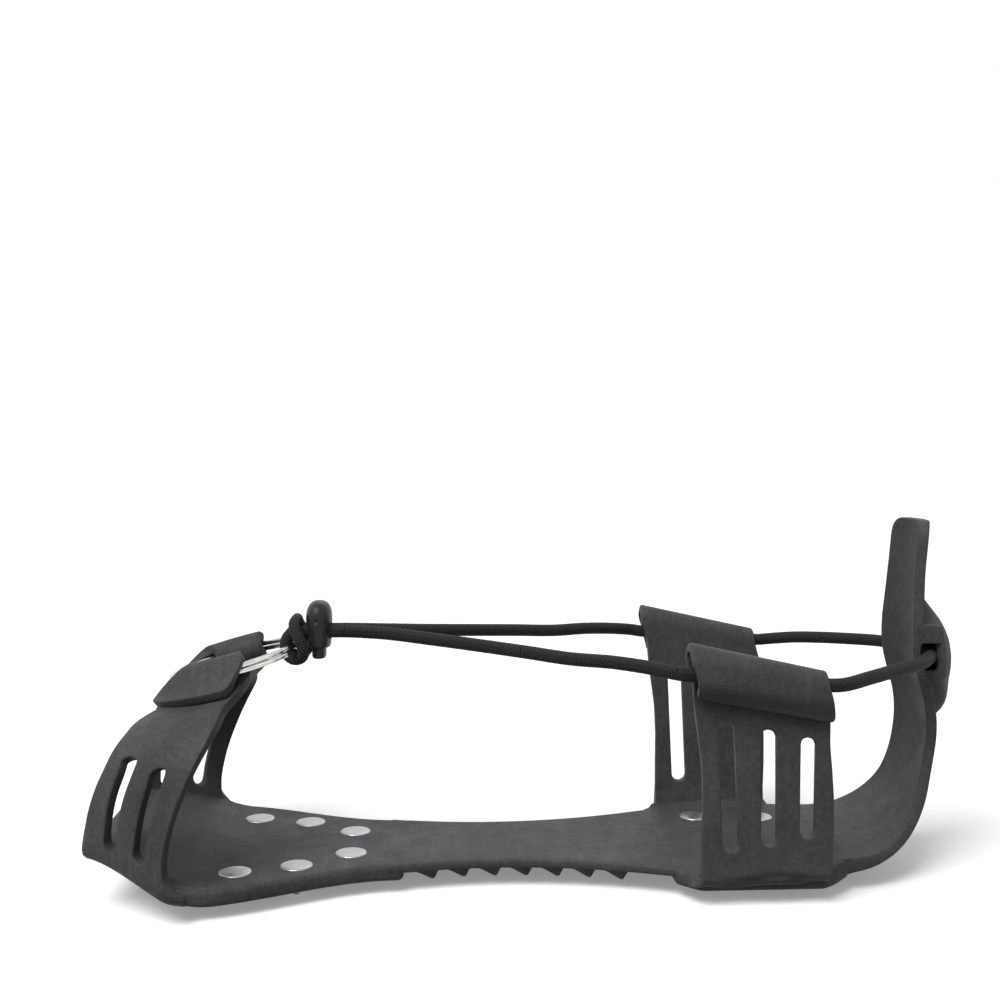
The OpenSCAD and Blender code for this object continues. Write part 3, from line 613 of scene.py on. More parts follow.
def rubber_material():
    """Moulded charcoal rubber: cloudy bloom, pale specks, fine scuffs and a fine moulded grain."""
    s = new_shading("moulded_rubber")
    cloud = s.ramp(s.noise(60, detail=5), (0.3, (0.0480, 0.0500, 0.0492)), (0.55, (0.0600, 0.0620, 0.0610)),
                   (0.75, (0.0740, 0.0756, 0.0742)))
    mottle = s.ramp(s.noise(620, 3, 0.65), (0.35, grey(0.84)), (0.65, grey(1.16)))
    mottled = s.mix(1.0, cloud, mottle, "MULTIPLY")
    specks = s.ramp(s.noise(2600, 2, 0.5), (0.56, BLACK), (0.72, WHITE))
    speckled = s.mix(s.calc("MULTIPLY", specks, 0.3), mottled, (0.150, 0.151, 0.147))
    streaks = s.ramp(s.noise(420, 3, 0.6, (1.0, 0.09, 0.09)), (0.58, BLACK), (0.74, WHITE))
    scuffed = s.mix(s.calc("MULTIPLY", streaks, 0.25), speckled, (0.125, 0.126, 0.123))
    rough = s.ramp(s.noise(140), (0.3, grey(0.46)), (0.7, grey(0.62)))
    s.surface({"Base Color": scuffed, "Roughness": rough, "Specular IOR Level": 0.1})
    grain = s.bump(s.noise(3200, 3, 0.7), distance=0.00008, strength=0.6)
    s.bump(s.noise(260, detail=3), distance=0.00018, strength=0.45, base=grain)
    return s.owner


def cord_material():
    """Braided elastic cord: fine ribs round it, crossed by a slanted braid, with painted shade in the braid's
    grooves and a painted highlight on its ridges.
    """
    s = new_shading("braided_cord")
    place = s.add("UVMap")
    place.uv_map = "along"
    split = s.add("SeparateXYZ", Vector=place.outputs["UV"])
    around, along = split.outputs["X"], split.outputs["Y"]

    def wave(turns, pitch):
        angle = s.calc("ADD", s.calc("MULTIPLY", around, turns * 2 * math.pi),
                       s.calc("MULTIPLY", along, 2 * math.pi / pitch))
        return s.calc("SINE", angle)
    braid = s.calc("MAXIMUM", wave(turns=8, pitch=1.5), wave(turns=-8, pitch=1.5))
    ribs = s.calc("MULTIPLY", wave(turns=0, pitch=0.75), 0.7)
    height = s.calc("ADD", braid, ribs)
    # Painted shade and highlight: the colour follows the braid's height, darker in its grooves and lighter on
    # its ridges.
    painted_braid_shade = s.calc("MULTIPLY_ADD", height, 0.25, 0.45)
    colour = s.ramp(painted_braid_shade, (0.1, (0.007, 0.007, 0.0075)), (0.9, (0.034, 0.034, 0.035)))
    s.surface({"Base Color": colour, "Roughness": 0.62, "Specular IOR Level": 0.12, "Sheen Weight": 0.04,
               "Sheen Roughness": 0.4})
    s.bump(height, distance=0.00012, strength=0.7)
    return s.owner


def steel_material(name, colour, roughness, streak):
    """Bright steel with fine streaks and faint smudges."""
    s = new_shading(name)
    tone = s.ramp(s.noise(240), (0.3, tuple(0.86 * c for c in colour)), (0.7, colour))
    rough = s.ramp(s.noise(500), (0.3, grey(roughness * 0.7)), (0.7, grey(roughness * 1.3)))
    s.surface({"Base Color": tone, "Metallic": 1.0, "Roughness": rough})
    s.bump(s.noise(900, 3, 0.6, streak), distance=0.00004, strength=0.35)
    return s.owner


def lock_material():
    """Satin black plastic with a faint moulded texture and dull patches."""
    s = new_shading("satin_plastic")
    tone = s.ramp(s.noise(300), (0.35, (0.017, 0.017, 0.0175)), (0.7, (0.027, 0.027, 0.0275)))
    rough = s.ramp(s.noise(420), (0.3, grey(0.30)), (0.7, grey(0.44)))
    s.surface({"Base Color": tone, "Roughness": rough, "Specular IOR Level": 0.22})
    s.bump(s.noise(2600, detail=2), distance=0.00005, strength=0.4)
    return s.owner


RUBBER = rubber_material()
CORD = cord_material()
RING_STEEL = steel_material("nickel_ring", (0.64, 0.63, 0.61), 0.13, (1.0, 1.0, 0.05))
SPRING_STEEL = steel_material("spring_wire", (0.62, 0.62, 0.64), 0.25, (1.0, 1.0, 1.0))
STUD_STEEL = steel_material("stud_steel", (0.46, 0.46, 0.48), 0.38, (0.1, 1.0, 1.0))
TIP_METAL = steel_material("stud_tip_metal", (0.36, 0.36, 0.38), 0.36, (1.0, 1.0, 1.0))
LOCK_PLASTIC = lock_material()


def finish_piece(obj, material, slot, *nodes):
    obj.data.materials.clear()
    obj.data.materials.append(material)
    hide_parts(*nodes)


# Plates: sheets with round edges, a low bead round the rim and low collars round the studs
def both_sides(places):
    return [(x, s * y) for x, y in places for s in (1, -1)]


def plate_sheet(x0, x1, half_w, rise):
    half_w += PLATE_SPARE_W
    across = np.linspace(-half_w, half_w, 41)
    rows = [point(x, across, tread_z(x) + PLATE_T / 2 + rise(x)) for x in np.arange(x0, x1 + 0.5, 1.0)]
    return Sheet(rows, across, 0.8)


def plan_loop(sheet, loop):
    """Plan points as places on a plate's sheet."""
    rows_x = sheet.grid[:, sheet.grid.shape[1] // 2, 0]
    return np.stack([np.interp(loop[:, 0], rows_x, sheet.along), loop[:, 1]], 1)


def plate(name, node, sheet, half, radii, studs_at):
    """Plate from the corners of its half plan; its upper face is level across."""
    corners = half + [(x, -y) for x, y in reversed(half)]
    loop = resample(plan_loop(sheet, round_corners(corners, radii + radii[::-1])), RIM_STEP)
    collars = plan_loop(sheet, np.array(both_sides(studs_at), float))

    def sides(q):
        bead = np.exp(-((nearest(q, loop) - BEAD_IN) / BEAD_W) ** 2)
        collar = 1 - ease((nearest(q, collars) - COLLAR_R) / COLLAR_SLOPE)
        top = np.full(len(q), PLATE_T / 2)
        return top, top + BEAD_H * bead + COLLAR_H * collar
    obj = skin(name, sheet, loop, [], sides, PLATE_EDGE_R, PLATE_GRID)
    finish_piece(obj, RUBBER, "rubber", node)
    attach(obj, "overshoe")


def forefoot():
    sheet = plate_sheet(TOE_X - 1, FORE_REAR_X + 4, BALL_HALF_W, lambda x: 0)
    flank = [(lerp(BALL_X, FORE_REAR_X, v), lerp(BALL_HALF_W, FORE_REAR_HALF_W, ease(v)))
             for v in np.linspace(0, 1, 25)]
    half = [(TOE_X, TOE_HALF_W)] + flank + [(FORE_REAR_X + 3, FORE_REAR_HALF_W - 0.2)]
    radii = [5.0, 6.0] + [0.0] * (len(half) - 3) + [2.6]
    plate("forefoot_rubber", "forefoot_plate", sheet, half, radii, FORE_STUDS)


def heel_rise(x):
    """How far the heel plate's rear end curves up into the heel strap."""
    return HEEL_RISE * ease((x - HEEL_RISE_X) / HEEL_RISE_LENGTH)


def heel():
    sheet = plate_sheet(HEEL_FRONT_X - 4, HEEL_REAR_X + 2, HEEL_HALF_W, heel_rise)
    half = [(HEEL_FRONT_X - 3, BRIDGE_HEEL_HALF_W - 0.6), (REAR_ROOT_X[0], HEEL_HALF_W),
            (REAR_ROOT_X[1] - 2, HEEL_HALF_W), (REAR_ROOT_X[1] + 2, HEEL_CORNER_HALF_W),
            (HEEL_REAR_X + 1, HEEL_ROOT_HALF_W)]
    plate("heel_rubber", "heel_plate", sheet, half, [2.6, 4, 2.5, 2, 3], HEEL_STUDS)


def bridge_half_w(x):
    front = lerp(WAIST_HALF_W, FORE_REAR_HALF_W, ((WAIST_X - x) / (WAIST_X - FORE_REAR_X)) ** 2)
    rear = lerp(WAIST_HALF_W, BRIDGE_HEEL_HALF_W, ((x - WAIST_X) / (HEEL_FRONT_X - WAIST_X)) ** 2)
    return np.where(x < WAIST_X, front, rear)


def bridge():
    """Arch bridge: hourglass strip with round-tipped saw-tooth lugs; its ends run into the plates."""
    x = np.arange(FORE_REAR_X - BRIDGE_LAP, HEEL_FRONT_X + BRIDGE_LAP + 0.01, 0.35)
    lug = np.zeros_like(x)
    for k in range(TOOTH_COUNT):
        tip = LAST_TOOTH_X - k * TOOTH_PITCH
        tooth = ((tip - TOOTH_FRONT, 0), (tip - TOOTH_TIP, 1), (tip + TOOTH_TIP, 1), (tip + TOOTH_REAR, 0))
        lug = np.maximum(lug, through(x, tooth))
    kernel = np.ones(3) / 3
    lug = np.convolve(np.convolve(lug, kernel, "same"), kernel, "same")
    front_end = ease((x - FORE_REAR_X - BRIDGE_LAP) / BRIDGE_SINK_LENGTH)
    rear_end = ease((HEEL_FRONT_X - BRIDGE_LAP - x) / BRIDGE_SINK_LENGTH)
    sink = BRIDGE_SINK * (1 - front_end * rear_end)
    r = BRIDGE_EDGE_R
    rings = []
    for xi, depth, down in zip(x, lug, sink):
        low, high = TOP_Z - BRIDGE_T + down, TOP_Z - down
        w = float(bridge_half_w(np.array(xi))) - down
        drop = TOOTH_H * depth
        over = [(w - r * (1 - math.sin(a)), low + r * (1 - math.cos(a))) for a in (0.5, 1.0, 1.57)]
        over += [(w - r * (1 - math.cos(a)), high - r * (1 - math.sin(a))) for a in (0.0, 0.5, 1.0, 1.57)]
        over += [(c * (w - 3), high) for c in (1, 0.6, 0.2)]
        under = [(w - 1.5 + r * 0.2, low), (w - 1.9, low - drop * 0.75), (w - 2.8, low - drop)]
        under += [(c * (w - 3), low - drop) for c in (0.6, 0.2)]
        section = over + mirrored(reversed(over)) + mirrored(under) + under[::-1]
        rings.append([(xi, y, z) for y, z in section])
    obj = loft("arch_rubber", rings)
    finish_piece(obj, RUBBER, "rubber", "arch_bridge")
    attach(obj, "overshoe")


# Straps
def root_thickness(q, thin_from, thin_to):
    """Thickness of a strap that grows out of a plate: flush with the plate, then thinning to its own."""
    return through(q[:, 0], ((0, ROOT_TAIL_T), (ROOT_TAIL, ROOT_T), (thin_from, ROOT_T), (thin_to, STRAP_T)))


def soft_edge(s, places, end):
    """Smooth edge of a strap: how far across it lies at the lengths s, through the given places."""
    edge = through(s, places + ((s[-1], end),))
    kernel = np.array([1, 3, 5, 6, 5, 3, 1]) / 24
    return np.convolve(np.pad(edge, 3, mode="edge"), kernel, "valid")


def strap_outline(s, lead, trail, tips, radii):
    """Outline from a strap's two edges and the two corners of its flap."""
    free = s < s[-1] - FLAP_CORNERS
    lead, trail = list(zip(s[free], lead[free])), list(zip(s[free], trail[free]))
    return round_corners(lead + tips + trail[::-1], [0.0] * len(lead) + radii + [0.0] * len(trail))


def front_near_ring(along, off, t, flare=0.0):
    """Row of a front strap near the ring, on a cone: how far from the wire, and how far off the cone."""
    r = RING_R + along * math.cos(FRONT_SLOPE) + off * math.sin(FRONT_SLOPE)
    h = -along * math.sin(FRONT_SLOPE) + off * math.cos(FRONT_SLOPE)
    down = along / FRONT_FLAP_END
    w = lerp(FRONT_FOLD_HALF_W, FRONT_FLAP_HALF_W, down) + flare * t
    middle = lerp(FRONT_FOLD_ANGLE, FRONT_FLAP_ANGLE, min(max(down, 0), 1))
    angle = np.radians(middle) + (2 * t - 1) * np.arcsin(np.minimum(w / r, 0.9))
    out = (r * np.cos(angle))[:, None] * RING_OUT
    return RING_CENTRE + out - point(0, r * np.sin(angle), 0) + h * RING_UP


def front_sheet():
    """Front strap's middle: turns up out of the plate, leans over the toe, folds over the ring to a flap."""
    t = np.linspace(*FRONT_SHEET, 71)
    held, flap_t = np.clip(t, *FRONT_HELD), np.clip(t, FRONT_HELD[0], FRONT_SHEET[1])
    a, b = np.array([BALL_X, -BALL_HALF_W]), np.array([TOE_X, -TOE_HALF_W])
    along_side = unit(b - a)
    outward = np.array([-along_side[1], along_side[0]])
    outward = outward if outward[1] < 0 else -outward
    plan = a + np.clip(t, 0, FRONT_HELD[1])[:, None] * (b - a) + np.minimum(t, 0)[:, None] * FRONT_FOOT_BACK
    turned = unit(outward + ease(-t / 0.25)[:, None] * FRONT_FOOT_TURN)
    facing = np.where(t[:, None] < 0, turned, outward)
    plan = plan + facing * (STRAP_T / 2 - FRONT_FOOT_IN * ease(-t / 0.45))[:, None]

    def foot(back, rise):
        p = plan - facing * back
        edge_x = (plan - facing * max(back, STRAP_T / 2))[:, 0]
        return point(p[:, 0], p[:, 1], tread_z(edge_x) + rise)
    start = foot(0, PLATE_T)
    end = front_near_ring(FRONT_REACH, -FRONT_FOLD_R, held, FRONT_FLARE)
    before = front_near_ring(FRONT_REACH + FRONT_LEAD, -FRONT_FOLD_R, held, FRONT_FLARE)
    front_share = ease((t - 0.35) / 0.75)[:, None]
    bow, tuck = front_share * np.array([-FRONT_BOW, 0, 0]), front_share * np.array([0, FRONT_TUCK, 0])
    lean = start + FRONT_LEAN + tuck / 2
    rows = [foot(d, PLATE_T / 2) for d in np.linspace(ROOT_IN, 0, 12)]
    rows += [bezier(start, lean, before + tuck, end, u) + bow * ease((u - 0.4) / 0.5)
             for u in np.linspace(0, 1, 41)]
    rows += [front_near_ring(FRONT_REACH * u, -FRONT_FOLD_R, held, FRONT_FLARE * u) + bow * ease(u)
             for u in np.linspace(0.95, 0, 16)]
    rows += [front_near_ring(-FRONT_FOLD_R * math.sin(v), -FRONT_FOLD_R * math.cos(v), held)
             for v in np.linspace(0.1, math.pi, 24)]
    close = STRAP_T + FLAP_GAP - FRONT_FOLD_R
    rows += [front_near_ring(FRONT_FLAP_END * u, lerp(FRONT_FOLD_R, close, float(ease(u / 0.66))),
                             lerp(held, flap_t, float(ease(u / 0.3)))) for u in np.linspace(0.06, 1, 18)]
    return Sheet(rows, (t - 0.5) * FRONT_WIDTH, 1.1)


def front_strap(side):
    s = np.linspace(0, FRONT_LENGTH, 160)
    rear, front = soft_edge(s, *FRONT_REAR_EDGE), soft_edge(s, *FRONT_FRONT_EDGE)
    tips = [(FRONT_LENGTH + 0.7, rear[-1]), (FRONT_LENGTH - 0.9, front[-1])]
    outline = strap_outline(s, rear, front, tips, [1.4, 2.4])
    holes = [slot_loop(*slot) for slot in FRONT_SLOTS]

    def sides(q):
        return [root_thickness(q, 9.0, 20.0) / 2] * 2
    name = f"front_strap_rubber_{side}"
    obj = skin(name, front_sheet(), outline, holes, sides, STRAP_EDGE_R, 1.2, side == "right")
    finish_piece(obj, RUBBER, "rubber", f"front_strap_{side}")
    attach(obj, "overshoe")


def rear_fold(t, y, h, flare=1.0):
    """Row of a rear strap near its slanted fold: t across the strap, h above the fold's line."""
    root_x = lerp(*REAR_ROOT_X, t)
    return point(lerp(root_x, lerp(*REAR_FOLD_X, t), flare), y, lerp(*REAR_FOLD_Z, t) + h)


def rear_strap(side):
    """Rear strap: turns up out of the heel plate with a lip at its foot, folds outwards over the cord on a
    slanted line and ends in a flap that stands a little off."""
    t = np.linspace(*REAR_SHEET, 61)
    held, within = np.clip(t, *REAR_HELD), np.clip(t, 0, 1)
    x = lerp(*REAR_ROOT_X, t)
    lift = through(t, LIP_UNDER) + LIP_HALF_T - MID_Z
    y = REAR_MID_Y + REAR_CURL * (np.maximum(-t, 0) / REAR_CURL_W) ** 2
    rows = [point(x, y + d, MID_Z + lerp(lift, heel_rise(x), ease(d / LIP_SPAN)))
            for d in np.linspace(ROOT_IN, 0, 12)]
    rows += [point(x, y, z + lift * (1 - ease((z - MID_Z) / LIP_SPAN)))
             for z in np.linspace(MID_Z + 0.8, REAR_BEND_Z, 10)]
    first = len(rows)
    root = point(lerp(*REAR_ROOT_X, held), REAR_MID_Y, REAR_BEND_Z)
    neck = rear_fold(held, REAR_MID_Y, -REAR_UNDER, REAR_NECK_FLARE)
    rise = np.linspace(0.02, 1, 60)
    rows += [lerp(root, neck, u) for u in rise]
    rows += [rear_fold(held, REAR_MID_Y, -REAR_UNDER * (1 - u), lerp(REAR_NECK_FLARE, 1, u))
             for u in np.linspace(0.1, 1, 10)]
    r = lerp(REAR_FOLD_R, REAR_FOLD_R - REAR_FOLD_TAPER, within)
    rows += [rear_fold(held, REAR_MID_Y - r * (1 - math.cos(v)), r * math.sin(v))
             for v in np.linspace(0.12, math.pi, 24)]
    tunnel = lerp(*REAR_TUNNEL, within)
    for h in np.linspace(0.5, REAR_FLAP_DROP, 20):
        near = ease((h - tunnel) / (REAR_FLAP_DROP - tunnel))
        rows.append(rear_fold(held, REAR_MID_Y - lerp(2 * r, REAR_FLAP_OFF, near), -h,
                              lerp(1, REAR_NECK_FLARE, min(h / REAR_UNDER, 1))))
    sheet = Sheet(rows, (t - 0.5) * REAR_WIDTH, 1.0)

    end_s = sheet.along[-1]
    lengths = sheet.stations[first:first + len(rise)]
    s = np.linspace(0, end_s, 170)
    sweep = 1 - ease((s - 6) / 7)
    lead = -REAR_SWEEP * sweep + soft_edge(s, *REAR_LEAD_EDGE)
    trail = soft_edge(s, *REAR_TRAIL_EDGE)
    last = np.flatnonzero(s < end_s - FLAP_CORNERS)[-1]
    tips = [(end_s, lead[last] - 0.2), (end_s, trail[last] + 0.1)]
    outline = strap_outline(s, lead, trail, tips, [1.2, 2.0])
    holes = [slot_loop((np.interp(low, rise, lengths), np.interp(top, rise, lengths)), (c, c + lean), half_w)
             for low, top, c, lean, half_w in REAR_SLOTS]

    def sides(q):
        p, n = sheet.at(q)
        u = np.clip(q[:, 1] / REAR_WIDTH + 0.5, 0, 1)
        half = root_thickness(q, 8, 17) / 2
        half = lerp(half, lerp(*REAR_FLAP_HALF_T, u), ease((q[:, 0] - lengths[-1]) / 8))
        above = p[:, 2] - through(u, LIP_CREASE)
        foot = q[:, 0] < LIP_LENGTH
        chamfer = np.where(foot, 1 / (np.abs(n[:, 1]) + np.abs(n[:, 2])), 1)
        rim = (1 - ease(above / LIP_EDGE)) * n[:, 1] ** 4 * foot
        groove = np.exp(-((above - CREASE_UP) / CREASE_W) ** 2) * foot
        return half, half * chamfer + LIP_OUT * rim - CREASE_DEPTH * groove
    obj = skin(f"rear_strap_rubber_{side}", sheet, outline, holes, sides, STRAP_EDGE_R, 1.0, side == "right")
    finish_piece(obj, RUBBER, "rubber", f"rear_strap_root_{side}", f"rear_strap_{side}")
    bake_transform(obj)


def heel_wrap_at(z):
    return HEEL_WRAP * ease((z - TOP_Z) / HEEL_WRAP_H)


def heel_half_w_at(z):
    low = lerp(HEEL_LOOP_HALF_W, HEEL_ROOT_HALF_W, np.maximum(1 - (z - MID_Z) / HEEL_TAPER_H, 0) ** 2)
    high = lerp(HEEL_LOOP_HALF_W, TAB_HALF_W, ease((z - TAB_TAPER_Z) / TAB_TAPER_H))
    return high if z > HEEL_NECK[1] else low


def heel_line():
    """Edge line of the heel strap in side view, from inside the plate to the pull tab's top."""
    flat = [(x, MID_Z + heel_rise(x)) for x in np.arange(HEEL_REAR_X - ROOT_IN, HEEL_REAR_X, 2.0)]
    line = smooth_line([(x, 0, z) for x, z in flat + list(HEEL_EDGE)], 1.0)
    return line[:, [0, 2]]


def heel_strap():
    """Heel strap with its pull tab, curving up out of the heel plate."""
    w = HEEL_NOMINAL_HALF_W
    c = np.linspace(-1.1, 1.1, 45)
    rows = [point(x + heel_wrap_at(z) * (1 - c * c), c * heel_half_w_at(z), z) for x, z in heel_line()]
    sheet = Sheet(rows, c * w, 2.0)
    end_s = sheet.along[-1]
    outline = round_corners([(0, -w), (end_s, -w), (end_s, w), (0, w)], [2, TAB_CORNER_R, TAB_CORNER_R, 2])
    thickness = ((0, ROOT_TAIL_T), (ROOT_TAIL, ROOT_T), (ROOT_IN + 1, ROOT_T), (ROOT_IN + 14, HEEL_STRAP_T),
                 (end_s - 40, TAB_T), (end_s - 24, TAB_T), (end_s, TAB_TOP_T))

    def sides(q):
        z = sheet.at(q)[0][:, 2]
        half = through(q[:, 0], thickness) / 2
        below, above = (ease((z - level) / RECESS_SLOPE) for level in RECESS_Z)
        return half, half - RECESS_DEPTH * below * (1 - above)
    obj = skin("heel_strap_rubber", sheet, outline, [], sides, 0.6, 1.2)
    finish_piece(obj, RUBBER, "rubber", "heel_strap_root", "heel_strap", "pull_tab")
    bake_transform(obj)


def heel_loop():
    """Cord loop behind the heel strap: a tall domed shell between two flat end frames."""
    c = np.linspace(-0.95, 0.95, 59)
    bulge = 1 - ease(np.abs(c) / 0.84)
    rows = [point(lerp(a[0], b[0], bulge), c * HEEL_LOOP_HALF_W, lerp(a[1], b[1], bulge))
            for a, b in zip(even_line(LOOP_END, 81), even_line(LOOP_DOME, 81))]
    sheet = Sheet(rows, c * HEEL_LOOP_HALF_W, 0.9)
    end_s, w = sheet.along[-1], HEEL_LOOP_HALF_W - LOOP_FRAME_T / 2
    outline = np.array([(0, -w), (end_s, -w), (end_s, w), (0, w)])
    obj = skin("heel_loop_rubber", sheet, outline, [], even_sides(LOOP_WALL), 0.5, 0.9)
    finish_piece(obj, RUBBER, "rubber", "heel_strap")
    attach(obj, "heel_band")

    # The frames lie on a flat upright sheet that is larger than they are
    x, z = np.arange(114.0, 136.0), np.arange(56.0, 88.0)
    flat = Sheet([point(v, LOOP_FRAME_T / 2 - HEEL_LOOP_HALF_W - 0.06, z) for v in x], z, 0.5)
    rim, mouth = (round_corners([(u - x[0], v) for u, v in corners], radii)
                  for corners, radii in (LOOP_FRAME, LOOP_MOUTH))
    for side in SIDES:
        name = f"heel_loop_frame_{side}"
        obj = skin(name, flat, rim, [mouth], even_sides(LOOP_FRAME_T), 0.4, 0.8, side == "right")
        finish_piece(obj, RUBBER, "rubber", "heel_strap")
        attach(obj, "heel_band")


# Split ring: one flat wire wound in two turns, stepping from the lower turn to the upper one
def split_ring():
    turn_h = (WIRE_H - TURN_GAP) / 2
    lift = (turn_h + TURN_GAP) / 2
    degrees = np.arange(*RING_WIRE_DEG, 1.5)
    height = lift * np.sin(np.interp(degrees, RING_STEP_DEG, [-1, 1]) * math.pi / 2)
    hw, hh, r = WIRE_W / 2, turn_h / 2, WIRE_EDGE_R
    corner = []
    for sx, sy, a0 in ((1, 1, 0), (-1, 1, 90), (-1, -1, 180), (1, -1, 270)):
        for a in (0, 30, 60, 90):
            v = math.radians(a0 + a)
            corner.append((sx * (hw - r) + r * math.cos(v), sy * (hh - r) + r * math.sin(v)))
    rings = []
    for d, h in zip(degrees, height):
        v = math.radians(d)
        rings.append([RING_CENTRE + (RING_R + x) * math.cos(v) * RING_OUT
                      - np.array([0, (RING_R + x) * math.sin(v), 0]) + (h + y) * RING_UP for x, y in corner])
    obj = loft("split_ring_wire", rings)
    finish_piece(obj, RING_STEEL, "ring_steel", "split_ring")
    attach(obj, "ring")


# Cord: places on the left side along its route, from the hitch's middle to the middle of the heel
STRAND_X = (-76, -62)
HITCH = [
    (-77.6, 0, 82.1), (-78.0, -3.0, 82.0), (-78.0, -5.75, 80.8), (-76.8, -7.5, 78.1), (-75.4, -7.9, 74.9),
    (-75.0, -7.2, 71.95), (-76.4, -5.6, 70.3), (-78.6, -4.2, 70.0), (-80.6, -3.35, 71.4), (-81.2, -2.95, 74),
    (-80.7, -2.7, 76.55), (-79.1, -2.4, 78.15), (-77.2, -STRAND_Y, STRAND_Z),
    (STRAND_X[0], -STRAND_Y, STRAND_Z)]
STRAND = [(x, -STRAND_Y, STRAND_Z) for x in (STRAND_X[0], -68, STRAND_X[1])]
FRONT_RUN = [
    (-56, -3, 78.4), (-48, -4.5, 78), (-36, -9, 77.1), (-20, -16, 75.9), (-6, -22.5, 74.8), (8, -29, 73.6),
    (20, -34.5, 73.4), (30, -39.5, 72.6), tuple(rear_fold(-0.1, CORD_Y, -4.6))]
SPAN = [tuple(rear_fold(t, CORD_Y, h))
        for t, h in ((0, -4.4), (0.33, -2.7), (0.66, -1.2), (1, 0.35), (1.1, 1.4))]
REAR_RUN = [
    (97, -39.5, 68.9), (106, -33.5, 69.6), (114, -27.6, 70.0),
    (HEEL_NECK[0] - 1.2, -22.0, HEEL_NECK[1] + 0.3), (HEEL_NECK[0] + 3.2, -15.4, HEEL_NECK[1] + 0.5)]
HEEL_SPAN = [(HEEL_NECK[0] + 6.9, -8, HEEL_NECK[1] + 0.6), (HEEL_NECK[0] + 7.9, 0, HEEL_NECK[1] + 0.6)]
CORD_R, HITCH_R, HITCH_END = CORD_D / 2 - 0.12, 1.85, 0.1
SIDE_X, BEND_X = -6.0, 106.0


def flipped(points):
    return [(x, -y, z) for x, y, z in points]


def cords():
    hitch = smooth_line(list(reversed(HITCH[1:])) + flipped(HITCH))
    tight = np.linspace(-1, 1, len(hitch))
    full = ease((np.abs(tight) - (1 - HITCH_END)) / HITCH_END)
    obj = tube("cord_hitch_braid", hitch, lerp(HITCH_R, CORD_R, full))
    finish_piece(obj, CORD, "cord", "cord_hitch")
    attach(obj, "overshoe")
    half = smooth_line(STRAND + FRONT_RUN + SPAN + REAR_RUN + HEEL_SPAN)
    line = np.vstack([half, flipped(half[-2::-1])])

    def place(x):
        return int(np.argmin(np.abs(half[:, 0] - x)))
    mouth, tail, back = FRONT_RUN[-1][0], SPAN[-1][0], REAR_RUN[-1][0]
    start, lock_end = STRAND_X
    for side in SIDES:
        strap = f"{side}_rear_strap"
        for name, span, ends, node in (
                ("strand", (start, lock_end), ("overshoe", "cord_lock", -75.8, -74.4), "cord_strand"),
                ("front_run", (lock_end, SIDE_X), ("cord_lock", "overshoe", lock_end, SIDE_X),
                 "cord_front_run"),
                ("side_run", (SIDE_X, mouth), ("overshoe", strap, SIDE_X, mouth), "cord_front_run"),
                ("strap_span", (mouth, tail), (strap,), "cord_strap_span"),
                ("rear_run", (tail, BEND_X), (strap, "overshoe", tail, BEND_X), "cord_rear_run"),
                ("heel_run", (BEND_X, back), ("overshoe", "heel_band", BEND_X, back), "cord_rear_run")):
            first, last = place(span[0]), place(span[1])
            obj = tube(f"cord_{name}_braid_{side}", line, CORD_R, first, last, mirror=side == "right")
            finish_piece(obj, CORD, "cord", f"{node}_{side}")
            if len(ends) == 1:
                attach(obj, ends[0])
            else:
                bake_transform(obj)
    obj = tube("cord_heel_span_braid", line, CORD_R, place(back), len(line) - 1 - place(back))
    finish_piece(obj, CORD, "cord", "cord_heel_span")
    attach(obj, "heel_band")


# Cord lock
def slab_ring(half_w, half_d, z, power, sides=48):
    """Level ring of a rounded slab: half width across, half depth along the cord."""
    angles = full_turn(sides)
    c, s = np.cos(angles), np.sin(angles)
    x = half_d * np.sign(c) * np.abs(c) ** (2 / power)
    y = half_w * np.sign(s) * np.abs(s) ** (2 / power)
    return point(LOCK_X + x, y, z)


def cut_slab(obj, name, half_w, half_d, heights, power):
    """Takes an upright rounded slab between two heights out of obj."""
    cut(obj, loft(name, [slab_ring(half_w, half_d, z, power) for z in heights]))


def cut_passage(obj, low):
    """Takes the cord's passage, a level bar with round ends, out of obj."""
    half_w, high = PASSAGE_HALF_W, STRAND_Z + PASSAGE_HALF_H
    r = (high - low) / 2
    angles = np.linspace(-math.pi / 2, math.pi / 2, 13)
    loop = [(half_w - r + r * math.cos(a), low + r + r * math.sin(a)) for a in angles]
    loop += mirrored(reversed(loop))
    ends = [LOCK_X - PASSAGE_LENGTH / 2, LOCK_X + PASSAGE_LENGTH / 2]
    cut(obj, loft("passage_tool", [[(x, y, z) for y, z in loop] for x in ends]))


